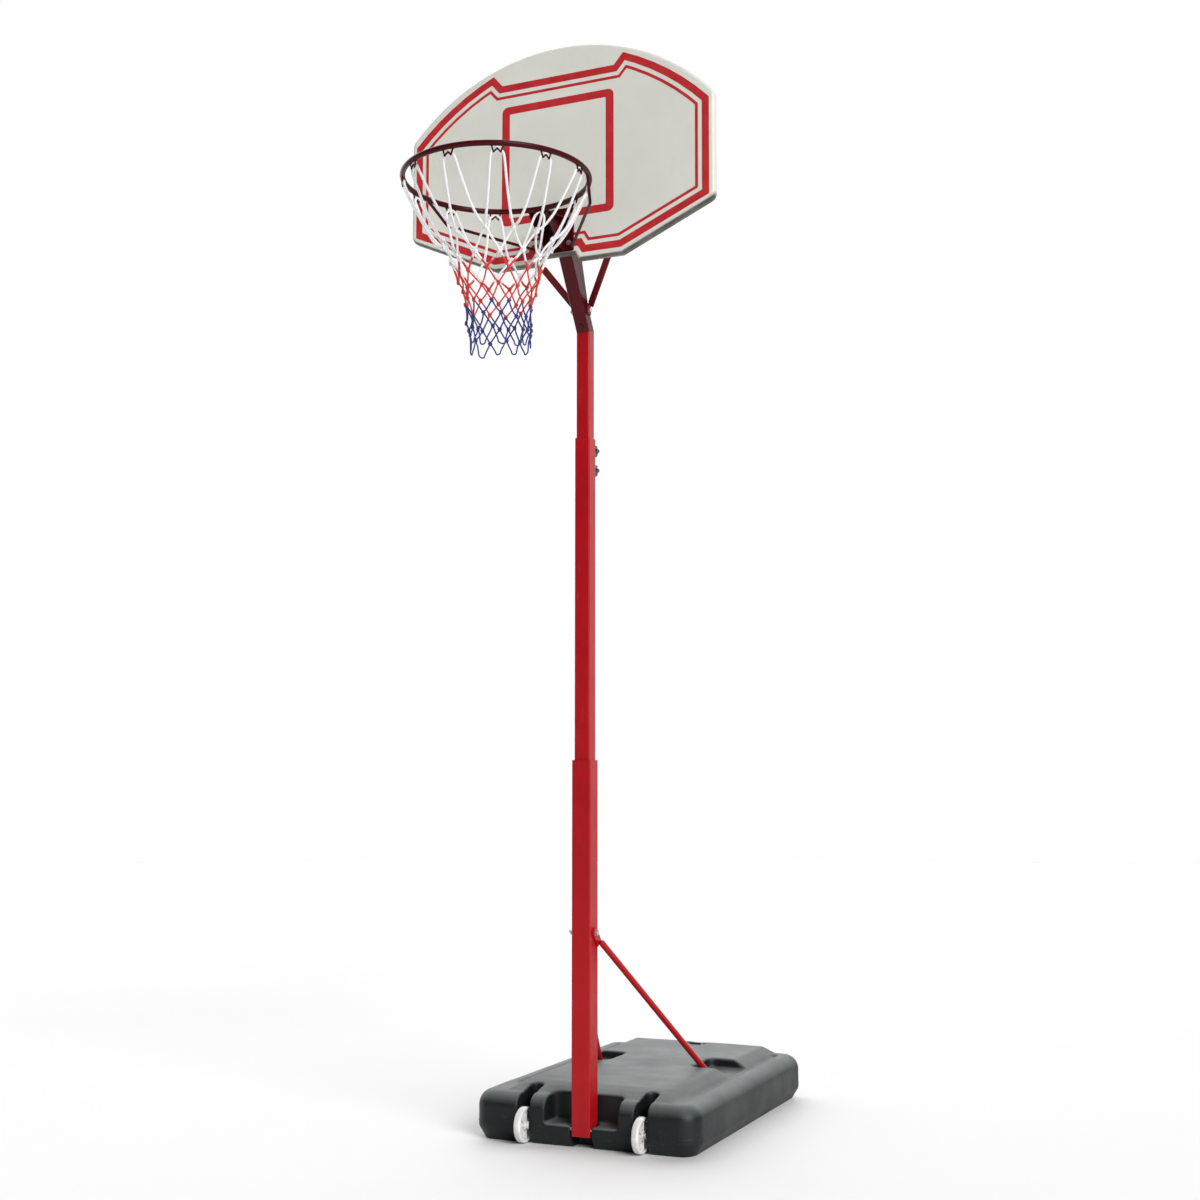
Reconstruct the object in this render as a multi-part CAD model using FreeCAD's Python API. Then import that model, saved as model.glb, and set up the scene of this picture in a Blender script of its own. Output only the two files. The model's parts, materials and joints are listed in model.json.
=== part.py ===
"""Portable basketball hoop: a tank base, a telescopic square pole, a backboard and a rim.

Millimetres. +Z is up, the floor is z = 0 and the rim points towards -Y. The origin is on the
floor, midway between the rim's front and the tank's back. Each piece is one STEP file in parts/.
"""
import FreeCAD, Part
import math
import os

V = FreeCAD.Vector
X_AXIS = V(1, 0, 0)
Y_AXIS = V(0, 1, 0)
Z_AXIS = V(0, 0, 1)

# ---- driving dimensions ---------------------------------------------------------------
RING_INNER = 450.0          # clear diameter of the rim
RING_ROD = 14.0             # rim rod diameter
RING_Z = 2445.0             # height of the rim's centreline
RING_REACH = 541.0          # pole axis to rim centre
TANK_REACH = 915.0          # pole axis to the tank's back face
RING_R = (RING_INNER + RING_ROD) / 2
RING_OUTER_R = RING_R + RING_ROD / 2
POLE_Y = (RING_REACH + RING_OUTER_R - TANK_REACH) / 2
RING_Y = POLE_Y - RING_REACH

BOARD_W = 900.0
BOARD_T = 28.0
BOARD_SKIN = 2.8            # blow-moulded wall
BOARD_FRONT = POLE_Y - 187.5
BOARD_BACK = BOARD_FRONT + BOARD_T
BOARD_BOTTOM = 2338.0
BOARD_STEP = 20.0           # the middle of the bottom edge is raised
BOARD_STEP_HALF = 52.0
BOARD_FLAT_HALF = 188.0     # half of the flat bottom edge
BOARD_CORNER_LOW = 2455.0
BOARD_CORNER_HIGH = 2740.0
BOARD_APEX = 2942.0
BOARD_CORNER_R = 28.0
BOARD_EDGE_R = 9.0

WALL = 1.5                  # tube wall
LOWER_SIZE = 54.0
MID_SIZE = 44.0
TOP_SIZE = 38.0
POLE_FRONT_Z = 30.0         # the pole's foot is cut on the slant
POLE_BACK_Z = 65.0
LOWER_TOP = 1012.0
MID_BOTTOM = 842.0
MID_TOP = 1893.0
TOP_BOTTOM = 1493.0
ELBOW_Z = 2194.5
SLIDE_GAP = 0.25            # clearance of the sliding tube in its guides

LEAN = math.radians(33.0)   # the arm leans forward from the vertical

TANK_HALF = 322.0
TANK_FRONT = POLE_Y - 28.0
TANK_BACK = POLE_Y + TANK_REACH
TANK_WALL = 4.5
SHOULDER_Z = 128.0
PLATEAU_Z = 148.0
PLATEAU_HALF = 208.0
PLATEAU_SLOPE = 32.0
# the rounded front edge: behind the pole axis, and height from the top
PLATEAU_FRONT = ((2, -26), (30, -16), (64, -8), (105, -2.5), (160, 0))
FOOT_INSET = 20.0           # the tank's foot is narrower than its waist
FOOT_RISE = 32.0
TANK_CORNER_R = 58.0        # corners seen from above
TANK_EDGE_R = 40.0          # rounding of the shoulder
LEDGE_Z = 57.0
NOTCH_HALF = 105.0
NOTCH_DEPTH = 34.0          # behind the pole axis
NOTCH_CORNER_R = 20.0
SOCKET = (30.0, 31.0)       # gap in the ledge for the pole's foot: half width, and behind the pole axis
SLOT_HALF = 18.0            # wheel slots
SLOT_END = 60.0             # behind the pole axis
POCKET = (130.0, 244.0, 442.0, 600.0, 119.0)   # x range, y range behind the pole, floor height
POCKET_CORNER_R = 24.0
GROOVE_X = 254.0            # grooves along the plateau's sides
GROOVE_TOP_HALF = 15.0
GROOVE_FLOOR_HALF = 5.0
GROOVE_DEPTH = 8.0
GROOVE_ENDS = (130.0, 850.0)  # behind the pole axis
BOSS_R = 9.0                # solid plastic round the foot screws
SCREW_BORE_R = 3.05

WHEEL_R = 46.5
WHEEL_W = 20.0
WHEEL_X = 168.0
HUB_REACH = 7.5             # the hub's inner end spaces the wheel off the tank
AXLE_R = 4.0
AXLE_Y = POLE_Y - 20.0
AXLE_Z = 48.5
RUNNING = 0.08              # radial clearance of turning parts
TOUCH = 0.05                # gap left between plates that bear on each other

STRUT_R = 8.5
STRUT_WALL = 1.5
STRUT_TOP_Z = 556.0
STRUT_KNEE = (12.0, 26.0, 30.0)   # out from the pole's side, back, and below the bolt
STRUT_FOOT = (166.0, 484.0)       # x, and y behind the pole axis
FOOT_SCREW_BACK = 24.0            # the screw's place behind the strut's end
EAR_T = 5.0                       # flattened upper end

KNOB_HEIGHTS = (1868.0, 1813.0)
KNOB_R = 18.0
KNOB_LOBES = 6
STUD_R = 4.0
STUD_END = POLE_Y + MID_SIZE / 2 + 28

CAP_Y = POLE_Y + 836.0
CAP_BORE_R = 18.0
CAP_DISC_R = 25.0
CAP_RECESS_R = 31.0
CAP_RECESS_DEPTH = 12.0
CAP_GROOVES = 20

NET_PROFILE = ((30, 215), (70, 198), (122, 163), (212, 106), (315, 82), (432, 81))   # depth, radius
NET_T = 3.0
HOOKS = 12
HOOK_WIRE_R = 2.0
HOOK_TURN = -2.0            # degrees from the line through the pole to the first hook
# sideways from the hook's middle, and above the rod's underside
HOOK_OUTLINE = ((-14, 1.5), (-8.5, -15), (0, -6), (8.5, -15), (14, 1.5))

BOLT_R = 4.0
WASHER_T = 1.6
STRUT_BOLT_SEAT = LOWER_SIZE / 2 + EAR_T + TOUCH    # the strut ears' outer faces
RIM_PLATE = (51.0, 2364.0, 2484.0, 3.0)    # half width, bottom, top, thickness
RIM_NECK = 24.0             # half width of the bracket where it meets the ring
RIM_BOLTS = [(x, z) for x in (-38.0, 38.0) for z in (2386.0, 2462.0)]
UPRIGHT = (55.0, 2364.0, 2644.0, 3.0)
BOARD_STRUT_X = 214.0
BAR_W = 19.0                # flat bar of the board struts
BOARD_STRUT_Z = 2540.0
BOARD_STRUT_FOOT_Z = 2248.0
BRACE_R = 4.0
BRACE_TURN = math.radians(-12)      # where the brace meets the ring, from the ring's side
BRACE_BEND = (204.0, 424.0, 52.0)   # x, ahead of the pole axis, and below the ring


# ---- small helpers --------------------------------------------------------------------
def box(x0, x1, y0, y1, z0, z1):
    return Part.makeBox(x1 - x0, y1 - y0, z1 - z0, V(x0, y0, z0))


def rod(start, end, radius):
    axis = end - start
    return Part.makeCylinder(radius, axis.Length, start, axis)


def ring_of(inner, outer, start, end):
    return rod(start, end, outer).cut(rod(start, end, inner))


def hexagon(start, end, across):
    """Hexagonal prism from start to end, `across` its flats."""
    axis = end - start
    radius = across / math.sqrt(3)
    corners = [V(radius * math.cos(math.radians(60 * k)), radius * math.sin(math.radians(60 * k)), 0)
               for k in range(7)]
    prism = Part.Face(Part.makePolygon(corners)).extrude(V(0, 0, axis.Length))
    prism.Placement = FreeCAD.Placement(start, FreeCAD.Rotation(Z_AXIS, axis))
    return prism


def hex_bolt(head_face, tip, radius, across, head):
    """Shank from the face under the head to the tip, with a hexagonal head behind the face."""
    out = (head_face - tip).normalize()
    return rod(head_face, tip, radius).fuse(hexagon(head_face, head_face + out * head, across))


def hex_nut(start, end, radius, across):
    return hexagon(start, end, across).cut(rod(start, end, radius))


def vertical_edges(shape):
    return [e for e in shape.Edges
            if abs(e.tangentAt(e.FirstParameter).z) > 0.999 and e.Curve.TypeId == "Part::GeomLine"]


def edges_at(shape, z):
    return [e for e in shape.Edges if abs(e.BoundBox.ZMin - z) < 0.01 and abs(e.BoundBox.ZMax - z) < 0.01]


def square_tube(size, wall, z0, z1, corner=4.0):
    """Square tube about the pole axis."""
    half = size / 2
    outer = box(-half, half, POLE_Y - half, POLE_Y + half, z0, z1)
    outer = outer.makeFillet(corner, vertical_edges(outer))
    if wall is None:
        return outer
    half -= wall
    inner = box(-half, half, POLE_Y - half, POLE_Y + half, z0 - 1, z1 + 1)
    inner = inner.makeFillet(corner - wall, vertical_edges(inner))
    return outer.cut(inner)


def side_profile(points, x0, x1):
    """Polygon in the YZ plane, with y measured from the pole axis, extruded across X."""
    corners = [V(x0, POLE_Y + y, z) for y, z in points]
    return Part.Face(Part.makePolygon(corners + corners[:1])).extrude(V(x1 - x0, 0, 0))


def front_profile(points, y0, y1):
    """Polygon in the XZ plane, extruded along Y."""
    corners = [V(x, y0, z) for x, z in points]
    return Part.Face(Part.makePolygon(corners + corners[:1])).extrude(V(0, y1 - y0, 0))


def mirror_x(shape):
    return shape.mirror(V(0, 0, 0), X_AXIS)


def joined(shapes):
    whole = shapes[0]
    for shape in shapes[1:]:
        whole = whole.fuse(shape)
    return whole.removeSplitter()


def largest_solid(shape):
    return max(shape.Solids, key=lambda s: s.Volume)


def bent_rod(points, radius):
    """A round rod through straight runs, with ball-shaped bends."""
    runs = [rod(a, b, radius) for a, b in zip(points, points[1:])]
    bends = [Part.makeSphere(radius, p) for p in points[1:-1]]
    return joined(runs + bends)


# ---- tank base ------------------------------------------------------------------------
def tank_form(inset):
    """The tank's outside, or with an inset its hollow: cuts grow as the body shrinks."""
    half = TANK_HALF - inset
    front = TANK_FRONT + inset
    back = TANK_BACK - inset
    body = box(-half, half, front, back, inset, SHOULDER_Z - inset)
    body = body.makeFillet(TANK_CORNER_R - inset, vertical_edges(body))
    body = body.makeChamfer(FOOT_RISE - inset / 2, FOOT_INSET - inset / 2, edges_at(body, inset))
    body = body.makeFillet(TANK_EDGE_R - inset, edges_at(body, SHOULDER_Z - inset))
    top = PLATEAU_Z - inset
    low = SHOULDER_Z - 30
    plate_back = TANK_BACK - POLE_Y - inset - 14
    (first, step), *rise = PLATEAU_FRONT
    front_edge = [(first + inset, low), (first + inset, top + step)]
    front_edge += [(y, top + drop) for y, drop in rise]
    back_edge = [(plate_back - PLATEAU_SLOPE, top), (plate_back, SHOULDER_Z - 12 - inset), (plate_back, low)]
    along = side_profile(front_edge + back_edge, -300, 300)
    wide = PLATEAU_HALF + PLATEAU_SLOPE - inset
    across = front_profile([(-wide, low), (-wide, SHOULDER_Z - inset), (-PLATEAU_HALF + inset, top),
                            (PLATEAU_HALF - inset, top), (wide, SHOULDER_Z - inset), (wide, low)],
                           front, back)
    form = body.fuse(along.common(across)).removeSplitter()
    socket, socket_back = (size + inset for size in SOCKET)
    cuts = [notch(inset), box(-socket, socket, front - 40, POLE_Y + socket_back, -10, LEDGE_Z + 5)]
    for side in (-1, 1):
        cuts.append(wheel_slot(side, inset))
        cuts.append(strut_pocket(side, inset))
        cuts.append(side_groove(side, inset))
    recess = V(0, CAP_Y, PLATEAU_Z - CAP_RECESS_DEPTH - inset)
    cuts.append(Part.makeCylinder(CAP_RECESS_R + inset, 30, recess))
    for cut in cuts:
        form = form.cut(cut)
    return form


def side_groove(side, inset):
    """Long shallow groove between the plateau and the shoulder."""
    mouth = SHOULDER_Z + 1
    floor = SHOULDER_Z - GROOVE_DEPTH - inset
    outline = [(-GROOVE_TOP_HALF - inset, mouth), (-GROOVE_FLOOR_HALF - inset, floor),
               (GROOVE_FLOOR_HALF + inset, floor), (GROOVE_TOP_HALF + inset, mouth)]
    front, back = GROOVE_ENDS
    corners = [(side * GROOVE_X + x, z) for x, z in outline]
    return front_profile(corners, POLE_Y + front - inset, POLE_Y + back + inset)


def notch(inset):
    """The open recess that the pole stands in."""
    half = NOTCH_HALF + inset
    back = POLE_Y + NOTCH_DEPTH + inset
    form = box(-half, half, TANK_FRONT - 60, back, LEDGE_Z - inset, PLATEAU_Z + 30)
    return form.makeFillet(NOTCH_CORNER_R, [e for e in vertical_edges(form) if e.BoundBox.YMin > POLE_Y])


def wheel_slot(side, inset):
    half = SLOT_HALF + inset
    end = POLE_Y + SLOT_END
    x = side * WHEEL_X
    slot = box(x - half, x + half, TANK_FRONT - 40, end, -10, PLATEAU_Z + 30)
    return slot.fuse(Part.makeCylinder(half, PLATEAU_Z + 40, V(x, end, -10)))


def strut_pocket(side, inset):
    x0, x1, y0, y1, floor = POCKET
    front = POLE_Y + y0 - inset
    back = POLE_Y + y1 + inset
    form = box(x0 - inset, x1 + inset, front, back, floor - inset, PLATEAU_Z + 30)
    form = form.makeFillet(POCKET_CORNER_R, [e for e in vertical_edges(form) if e.BoundBox.XMax < x0 + 1])
    return form if side > 0 else mirror_x(form)


def strut_screw_place(side):
    return V(side * STRUT_FOOT[0], POLE_Y + STRUT_FOOT[1] + FOOT_SCREW_BACK, POCKET[4])


def base_tank():
    hollow = tank_form(TANK_WALL)
    axle_half = V(WHEEL_X - 10, 0, 0)
    axle_line = V(0, AXLE_Y, AXLE_Z)
    hollow = hollow.cut(rod(axle_line - axle_half, axle_line + axle_half, AXLE_R + 5))
    hollow = hollow.cut(Part.makeCylinder(CAP_BORE_R + 4, 60, V(0, CAP_Y, PLATEAU_Z - 34)))
    for side in (-1, 1):
        hollow = hollow.cut(Part.makeCylinder(BOSS_R, 60, strut_screw_place(side) - V(0, 0, 30)))
    tank = tank_form(0).cut(hollow)
    tank = tank.cut(Part.makeCylinder(CAP_BORE_R, 60, V(0, CAP_Y, PLATEAU_Z - 48)))
    tank = tank.cut(rod(axle_line - axle_half, axle_line + axle_half, AXLE_R + 0.1))
    for side in (-1, 1):
        tank = tank.cut(Part.makeCylinder(SCREW_BORE_R, 24, strut_screw_place(side) - V(0, 0, 22)))
    return tank


def cap_seat():
    return V(0, CAP_Y, PLATEAU_Z - CAP_RECESS_DEPTH)


def cap_gasket():
    seat = cap_seat() + V(0, 0, 0.1)
    return ring_of(CAP_BORE_R + 0.3, CAP_DISC_R - 1, seat, seat + V(0, 0, 2))


def filler_cap():
    """Screw cap: a plug in the neck, a knurled disc above the gasket and a finger bar."""
    face = cap_seat() + V(0, 0, 2.2)
    plug = ring_of(CAP_BORE_R - 3, CAP_BORE_R - RUNNING, face - V(0, 0, 14), face)
    top = face.z + 7
    disc = Part.makeCylinder(CAP_DISC_R, top - face.z, face)
    disc = disc.makeFillet(2, edges_at(disc, top))
    for k in range(CAP_GROOVES):
        angle = 2 * math.pi * k / CAP_GROOVES
        groove = V((CAP_DISC_R + 0.6) * math.cos(angle), (CAP_DISC_R + 0.6) * math.sin(angle), -1)
        disc = disc.cut(Part.makeCylinder(1.6, 20, face + groove))
    bar = box(-18, 18, CAP_Y - 4, CAP_Y + 4, top, top + 5)
    bar = bar.makeFillet(2, edges_at(bar, top + 5))
    return joined([plug, disc, bar])


# ---- wheels and axle ------------------------------------------------------------------
def wheel_axle():
    half = V(WHEEL_X + WHEEL_W / 2 + 6.5, 0, 0)
    centre = V(0, AXLE_Y, AXLE_Z)
    return rod(centre - half, centre + half, AXLE_R)


def axle_push_nuts():
    nuts = []
    for side in (-1, 1):
        inner = V(side * (WHEEL_X + WHEEL_W / 2 + 1.0), AXLE_Y, AXLE_Z)
        outer = inner + V(side * 5.5, 0, 0)
        cup = rod(inner, outer, 8.0).cut(rod(inner, outer, AXLE_R))
        flange = ring_of(AXLE_R, 10.0, inner, inner + V(side * 1.2, 0, 0))
        nuts.append(cup.fuse(flange).removeSplitter())
    return Part.makeCompound(nuts)


def wheel(side):
    """Narrow moulded wheel: rounded tread, dished web with ribs, and a hub."""
    x = WHEEL_X
    half = WHEEL_W / 2
    tread = rod(V(x - half, 0, 0), V(x + half, 0, 0), WHEEL_R)
    tread = tread.makeFillet(6.0, [e for e in tread.Edges if e.Curve.TypeId == "Part::GeomCircle"])
    for face, out in ((x - half, -1), (x + half, 1)):
        dish = ring_of(13.0, WHEEL_R - 8.5, V(face + out, 0, 0), V(face - out * 7, 0, 0))
        tread = tread.cut(dish)
    ribs = []
    for k in range(6):
        rib = box(x - half + 1.5, x + half - 1.5, -1.5, 1.5, 11.0, WHEEL_R - 7.5)
        rib.rotate(V(0, 0, 0), X_AXIS, 60 * k)
        ribs.append(rib)
    hub = rod(V(x - half - HUB_REACH, 0, 0), V(x, 0, 0), 10.0)
    form = joined([tread, hub] + ribs)
    form = form.cut(rod(V(x - half - 9, 0, 0), V(x + half + 9, 0, 0), AXLE_R + RUNNING))
    form.translate(V(0, AXLE_Y, AXLE_Z))
    return form if side > 0 else mirror_x(form)


# ---- pole -----------------------------------------------------------------------------
def lower_tube():
    tube = square_tube(LOWER_SIZE, WALL, 0, LOWER_TOP)
    half = LOWER_SIZE / 2
    foot = side_profile([(-half - 1, -5), (half + 1, -5), (half + 1, POLE_BACK_Z),
                         (-half - 1, POLE_FRONT_Z)], -60, 60)
    tube = tube.cut(foot)
    across = V(60, 0, 0)
    bores = ((V(0, AXLE_Y, AXLE_Z), AXLE_R + 0.1), (V(0, POLE_Y, STRUT_TOP_Z), BOLT_R + 0.2))
    for centre, radius in bores:
        tube = tube.cut(rod(centre - across, centre + across, radius))
    for z in mid_screw_heights():
        tube = tube.cut(rod(V(0, POLE_Y + half - 4, z), V(0, POLE_Y + half + 4, z), SCREW_BORE_R))
    return tube


def mid_screw_heights():
    return (LOWER_TOP - 30, LOWER_TOP - 110)


def lower_tube_bush():
    """Plastic sleeve that centres the middle tube in the lower one, just below the lower one's mouth."""
    sleeve = square_tube(LOWER_SIZE - 2 * WALL, None, LOWER_TOP - 150, LOWER_TOP - 1, 2.5)
    bush = sleeve.cut(square_tube(MID_SIZE, None, LOWER_TOP - 200, LOWER_TOP + 9))
    for z in mid_screw_heights():
        bush = bush.cut(rod(V(0, POLE_Y, z), V(0, POLE_Y + 40, z), SCREW_BORE_R))
    return bush


def mid_tube():
    tube = square_tube(MID_SIZE, WALL, MID_BOTTOM, MID_TOP)
    for z in mid_screw_heights():
        tube = tube.cut(rod(V(0, POLE_Y, z), V(0, POLE_Y + 40, z), SCREW_BORE_R))
    for z in KNOB_HEIGHTS:
        tube = tube.cut(rod(V(0, POLE_Y, z), V(0, POLE_Y + 40, z), STUD_R + 0.5))
    return tube


def mid_tube_screws():
    screws = []
    face = POLE_Y + LOWER_SIZE / 2
    for z in mid_screw_heights():
        shank = rod(V(0, face - 11, z), V(0, face, z), 3.0)
        head = rod(V(0, face, z), V(0, face + 3.5, z), 6.0)
        head = head.makeFillet(2.0, [e for e in head.Edges if abs(e.BoundBox.YMin - face - 3.5) < 0.01])
        slot = box(-1, 1, face + 1.8, face + 5, z - 8, z + 8)
        screws.append(shank.fuse(head).cut(slot))
    return Part.makeCompound(screws)


def mid_tube_bush():
    """Plastic guide in the mouth of the middle tube; the top tube slides in it."""
    sleeve = square_tube(MID_SIZE - 2 * WALL, None, MID_TOP - 60, MID_TOP - 1, 2.5)
    bush = sleeve.cut(square_tube(TOP_SIZE + 2 * SLIDE_GAP, None, MID_TOP - 90, MID_TOP + 9))
    return bush.cut(rod(V(0, POLE_Y, KNOB_HEIGHTS[0]), V(0, POLE_Y + 40, KNOB_HEIGHTS[0]), STUD_R + 0.5))


def clamp_weld_nuts():
    face = POLE_Y + MID_SIZE / 2
    return Part.makeCompound([hex_nut(V(0, face, z), V(0, face + 7, z), STUD_R + RUNNING, 14)
                              for z in KNOB_HEIGHTS])


def knob_washer(z):
    face = POLE_Y + MID_SIZE / 2 + 7.15
    return ring_of(STUD_R + RUNNING, 9, V(0, face, z), V(0, face + 1.6, z))


def clamp_stud(z):
    """Threaded stud, its tip just clear of the top tube's back."""
    tip = POLE_Y + TOP_SIZE / 2 + 0.3
    stud = rod(V(0, tip, z), V(0, STUD_END, z), STUD_R)
    return stud.makeChamfer(0.8, [e for e in stud.Edges if abs(e.BoundBox.YMax - tip) < 0.01])


def clamp_knob(z):
    """Star grip with six lobes and a short neck, moulded over the stud."""
    face = POLE_Y + MID_SIZE / 2 + 8.9
    neck = rod(V(0, face, z), V(0, face + 8, z), 9)
    grip = rod(V(0, face + 7, z), V(0, face + 27, z), KNOB_R)
    for k in range(KNOB_LOBES):
        angle = 2 * math.pi * (k + 0.5) / KNOB_LOBES
        centre = V((KNOB_R + 4.5) * math.cos(angle), face + 4, z + (KNOB_R + 4.5) * math.sin(angle))
        grip = grip.cut(rod(centre, centre + V(0, 30, 0), 7.5))
    end_edges = [e for e in grip.Edges
                 if abs(e.BoundBox.YMin - face - 27) < 0.01 and e.BoundBox.YLength < 0.01]
    grip = grip.makeFillet(1.8, end_edges)
    return joined([neck, grip]).cut(rod(V(0, face - 1, z), V(0, STUD_END, z), STUD_R))


# ---- struts from pole to tank ---------------------------------------------------------
def base_strut():
    """Round tube with flattened ends: the upper on the pole's side, the lower on the tank."""
    side = LOWER_SIZE / 2 + TOUCH
    out, back, drop = STRUT_KNEE
    knee = V(LOWER_SIZE / 2 + out, POLE_Y + back, STRUT_TOP_Z - drop)
    floor = POCKET[4] + TOUCH
    foot = V(STRUT_FOOT[0], POLE_Y + STRUT_FOOT[1], POCKET[4] + STRUT_R + 1)
    slope = (foot - knee).normalize()
    ear = box(side, side + EAR_T, -13, 13, -13, 40)
    ear = ear.makeFillet(12.5, [e for e in ear.Edges if e.BoundBox.ZMax < -12 and e.BoundBox.XLength > 4])
    ear.rotate(V(0, 0, 0), X_AXIS, 180 + math.degrees(math.atan2(back, drop)))
    ear.translate(V(0, POLE_Y, STRUT_TOP_Z))
    pad = box(foot.x - 15, foot.x + 15, foot.y - 10, foot.y + 40, floor, POCKET[4] + EAR_T)
    pad = pad.makeFillet(13, [e for e in vertical_edges(pad) if e.BoundBox.YMin > foot.y])
    form = joined([bent_rod([knee - slope, knee, foot, foot + slope], STRUT_R), ear, pad])
    form = form.cut(box(foot.x - 60, foot.x + 60, foot.y - 60, foot.y + 60, floor - 30, floor))
    form = form.cut(box(side - 30, side, POLE_Y - 40, POLE_Y + 60, STRUT_TOP_Z - 90, STRUT_TOP_Z + 40))
    form = form.cut(rod(knee + slope * 30, foot - slope * 30, STRUT_R - STRUT_WALL))
    form = form.cut(rod(V(0, POLE_Y, STRUT_TOP_Z), V(60, POLE_Y, STRUT_TOP_Z), BOLT_R + 0.2))
    screw = strut_screw_place(1)
    return form.cut(rod(screw - V(0, 0, 5), screw + V(0, 0, 20), 3.2))


def strut_pole_bolt():
    reach = STRUT_BOLT_SEAT + WASHER_T
    return hex_bolt(V(reach, POLE_Y, STRUT_TOP_Z), V(-reach - 10, POLE_Y, STRUT_TOP_Z), BOLT_R, 13, 5.3)


def strut_pole_washers():
    rings = []
    for side in (-1, 1):
        inner = V(side * STRUT_BOLT_SEAT, POLE_Y, STRUT_TOP_Z)
        rings.append(ring_of(BOLT_R + 0.1, 8, inner, inner + V(side * WASHER_T, 0, 0)))
    return Part.makeCompound(rings)


def strut_pole_nut():
    inner = STRUT_BOLT_SEAT + WASHER_T
    return hex_nut(V(-inner, POLE_Y, STRUT_TOP_Z), V(-inner - 6.5, POLE_Y, STRUT_TOP_Z), BOLT_R, 13)


def strut_foot_screws():
    screws = []
    for side in (-1, 1):
        place = strut_screw_place(side)
        face = place + V(0, 0, 6.2)
        screws.append(hex_bolt(face, place - V(0, 0, 20), 3.0, 10, 4.2))
    return Part.makeCompound(screws)


def strut_foot_washers():
    rings = []
    for side in (-1, 1):
        place = strut_screw_place(side) + V(0, 0, 5.0)
        rings.append(ring_of(3.1, 7.5, place, place + V(0, 0, 1.2)))
    return Part.makeCompound(rings)


# ---- sliding head: top tube, elbow and arm --------------------------------------------
def mitre_half(above):
    """Everything above, or below, the mitre plane between the top tube and the arm."""
    slope = math.tan(LEAN / 2)
    edge = [(-300, ELBOW_Z - 300 * slope), (300, ELBOW_Z + 300 * slope)]
    far = ELBOW_Z + (900 if above else -900)
    return side_profile(edge + [(300, far), (-300, far)], -120, 120)


def top_tube():
    tube = square_tube(TOP_SIZE, WALL, TOP_BOTTOM, ELBOW_Z + 20)
    tube = tube.common(mitre_half(False))
    z = ELBOW_Z - 40
    return tube.cut(rod(V(0, POLE_Y, z), V(0, POLE_Y + 30, z), 3.1))


def top_tube_glide():
    """Plastic plug on the tube's lower end that rides on the middle tube's walls."""
    outer = square_tube(MID_SIZE - 2 * WALL - 0.3, None, TOP_BOTTOM - 6, TOP_BOTTOM, 2.4)
    plug = square_tube(TOP_SIZE - 2 * WALL, None, TOP_BOTTOM, TOP_BOTTOM + 30, 2.5)
    hollow = square_tube(TOP_SIZE - 2 * WALL - 5, None, TOP_BOTTOM - 9, TOP_BOTTOM + 40, 1.5)
    return outer.fuse(plug).cut(hollow).removeSplitter()


def leaned(shape):
    """Tip a shape that stands on the pole axis forward about the elbow."""
    shape.rotate(V(0, POLE_Y, ELBOW_Z), X_AXIS, math.degrees(LEAN))
    return shape


def upright_back():
    return BOARD_BACK + UPRIGHT[3]


def arm_blank(size, wall):
    """Straight leaning tube, mitred at the elbow and cut upright at the board."""
    tube = leaned(square_tube(size, wall, ELBOW_Z - 60, ELBOW_Z + 420))
    tube = tube.common(mitre_half(True))
    return tube.common(box(-60, 60, upright_back(), POLE_Y + 100, ELBOW_Z - 80, ELBOW_Z + 500))


def arm_bolt_line():
    """Point on the arm's axis 24 mm above the elbow, and the normal to its front face."""
    along = V(0, -math.sin(LEAN), math.cos(LEAN))
    normal = V(0, -math.cos(LEAN), -math.sin(LEAN))
    return V(0, POLE_Y, ELBOW_Z) + along * 24, normal


def elbow_arm():
    place, normal = arm_bolt_line()
    arm = arm_blank(TOP_SIZE, 2.0)
    arm = arm.cut(rod(place, place + normal * 30, 3.1))
    centre = strut_arm_centre()
    return arm.cut(rod(centre - V(40, 0, 0), centre + V(40, 0, 0), BOLT_R + 0.2))


def elbow_spigot():
    """Bent insert that joins the top tube to the arm, one leg in each."""
    size = TOP_SIZE - 4.2
    lower = square_tube(size, 3.0, ELBOW_Z - 60, ELBOW_Z + 20, 4.0).common(mitre_half(False))
    upper = leaned(square_tube(size, 3.0, ELBOW_Z - 20, ELBOW_Z + 50, 4.0)).common(mitre_half(True))
    form = lower.fuse(upper).removeSplitter()
    place, normal = arm_bolt_line()
    form = form.cut(rod(place, place + normal * 30, 3.05))
    return form.cut(rod(V(0, POLE_Y, ELBOW_Z - 40), V(0, POLE_Y + 30, ELBOW_Z - 40), 3.05))


def elbow_bolts():
    place, normal = arm_bolt_line()
    half = TOP_SIZE / 2
    back = V(0, POLE_Y, ELBOW_Z - 40)
    upper = hex_bolt(place + normal * half, place + normal * (half - 9), 3.0, 10, 4)
    lower = hex_bolt(back + Y_AXIS * half, back + Y_AXIS * (half - 9), 3.0, 10, 4)
    return Part.makeCompound([upper, lower])


def arm_gussets():
    """Two cheek plates that fill the corner between the arm's back and the upright."""
    plane = upright_back() - POLE_Y
    points = [(-26, 2268), (plane, 2636), (plane, 2400), (-60, 2230)]
    plates = []
    arm = leaned(square_tube(TOP_SIZE, None, ELBOW_Z - 60, ELBOW_Z + 420))
    for x0, x1 in ((-19.0, -15.0), (15.0, 19.0)):
        plate = side_profile(points, x0, x1).cut(arm)
        plate = max(plate.Solids, key=lambda s: s.BoundBox.ZMax)
        plates.append(plate)
    return Part.makeCompound(plates)


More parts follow.
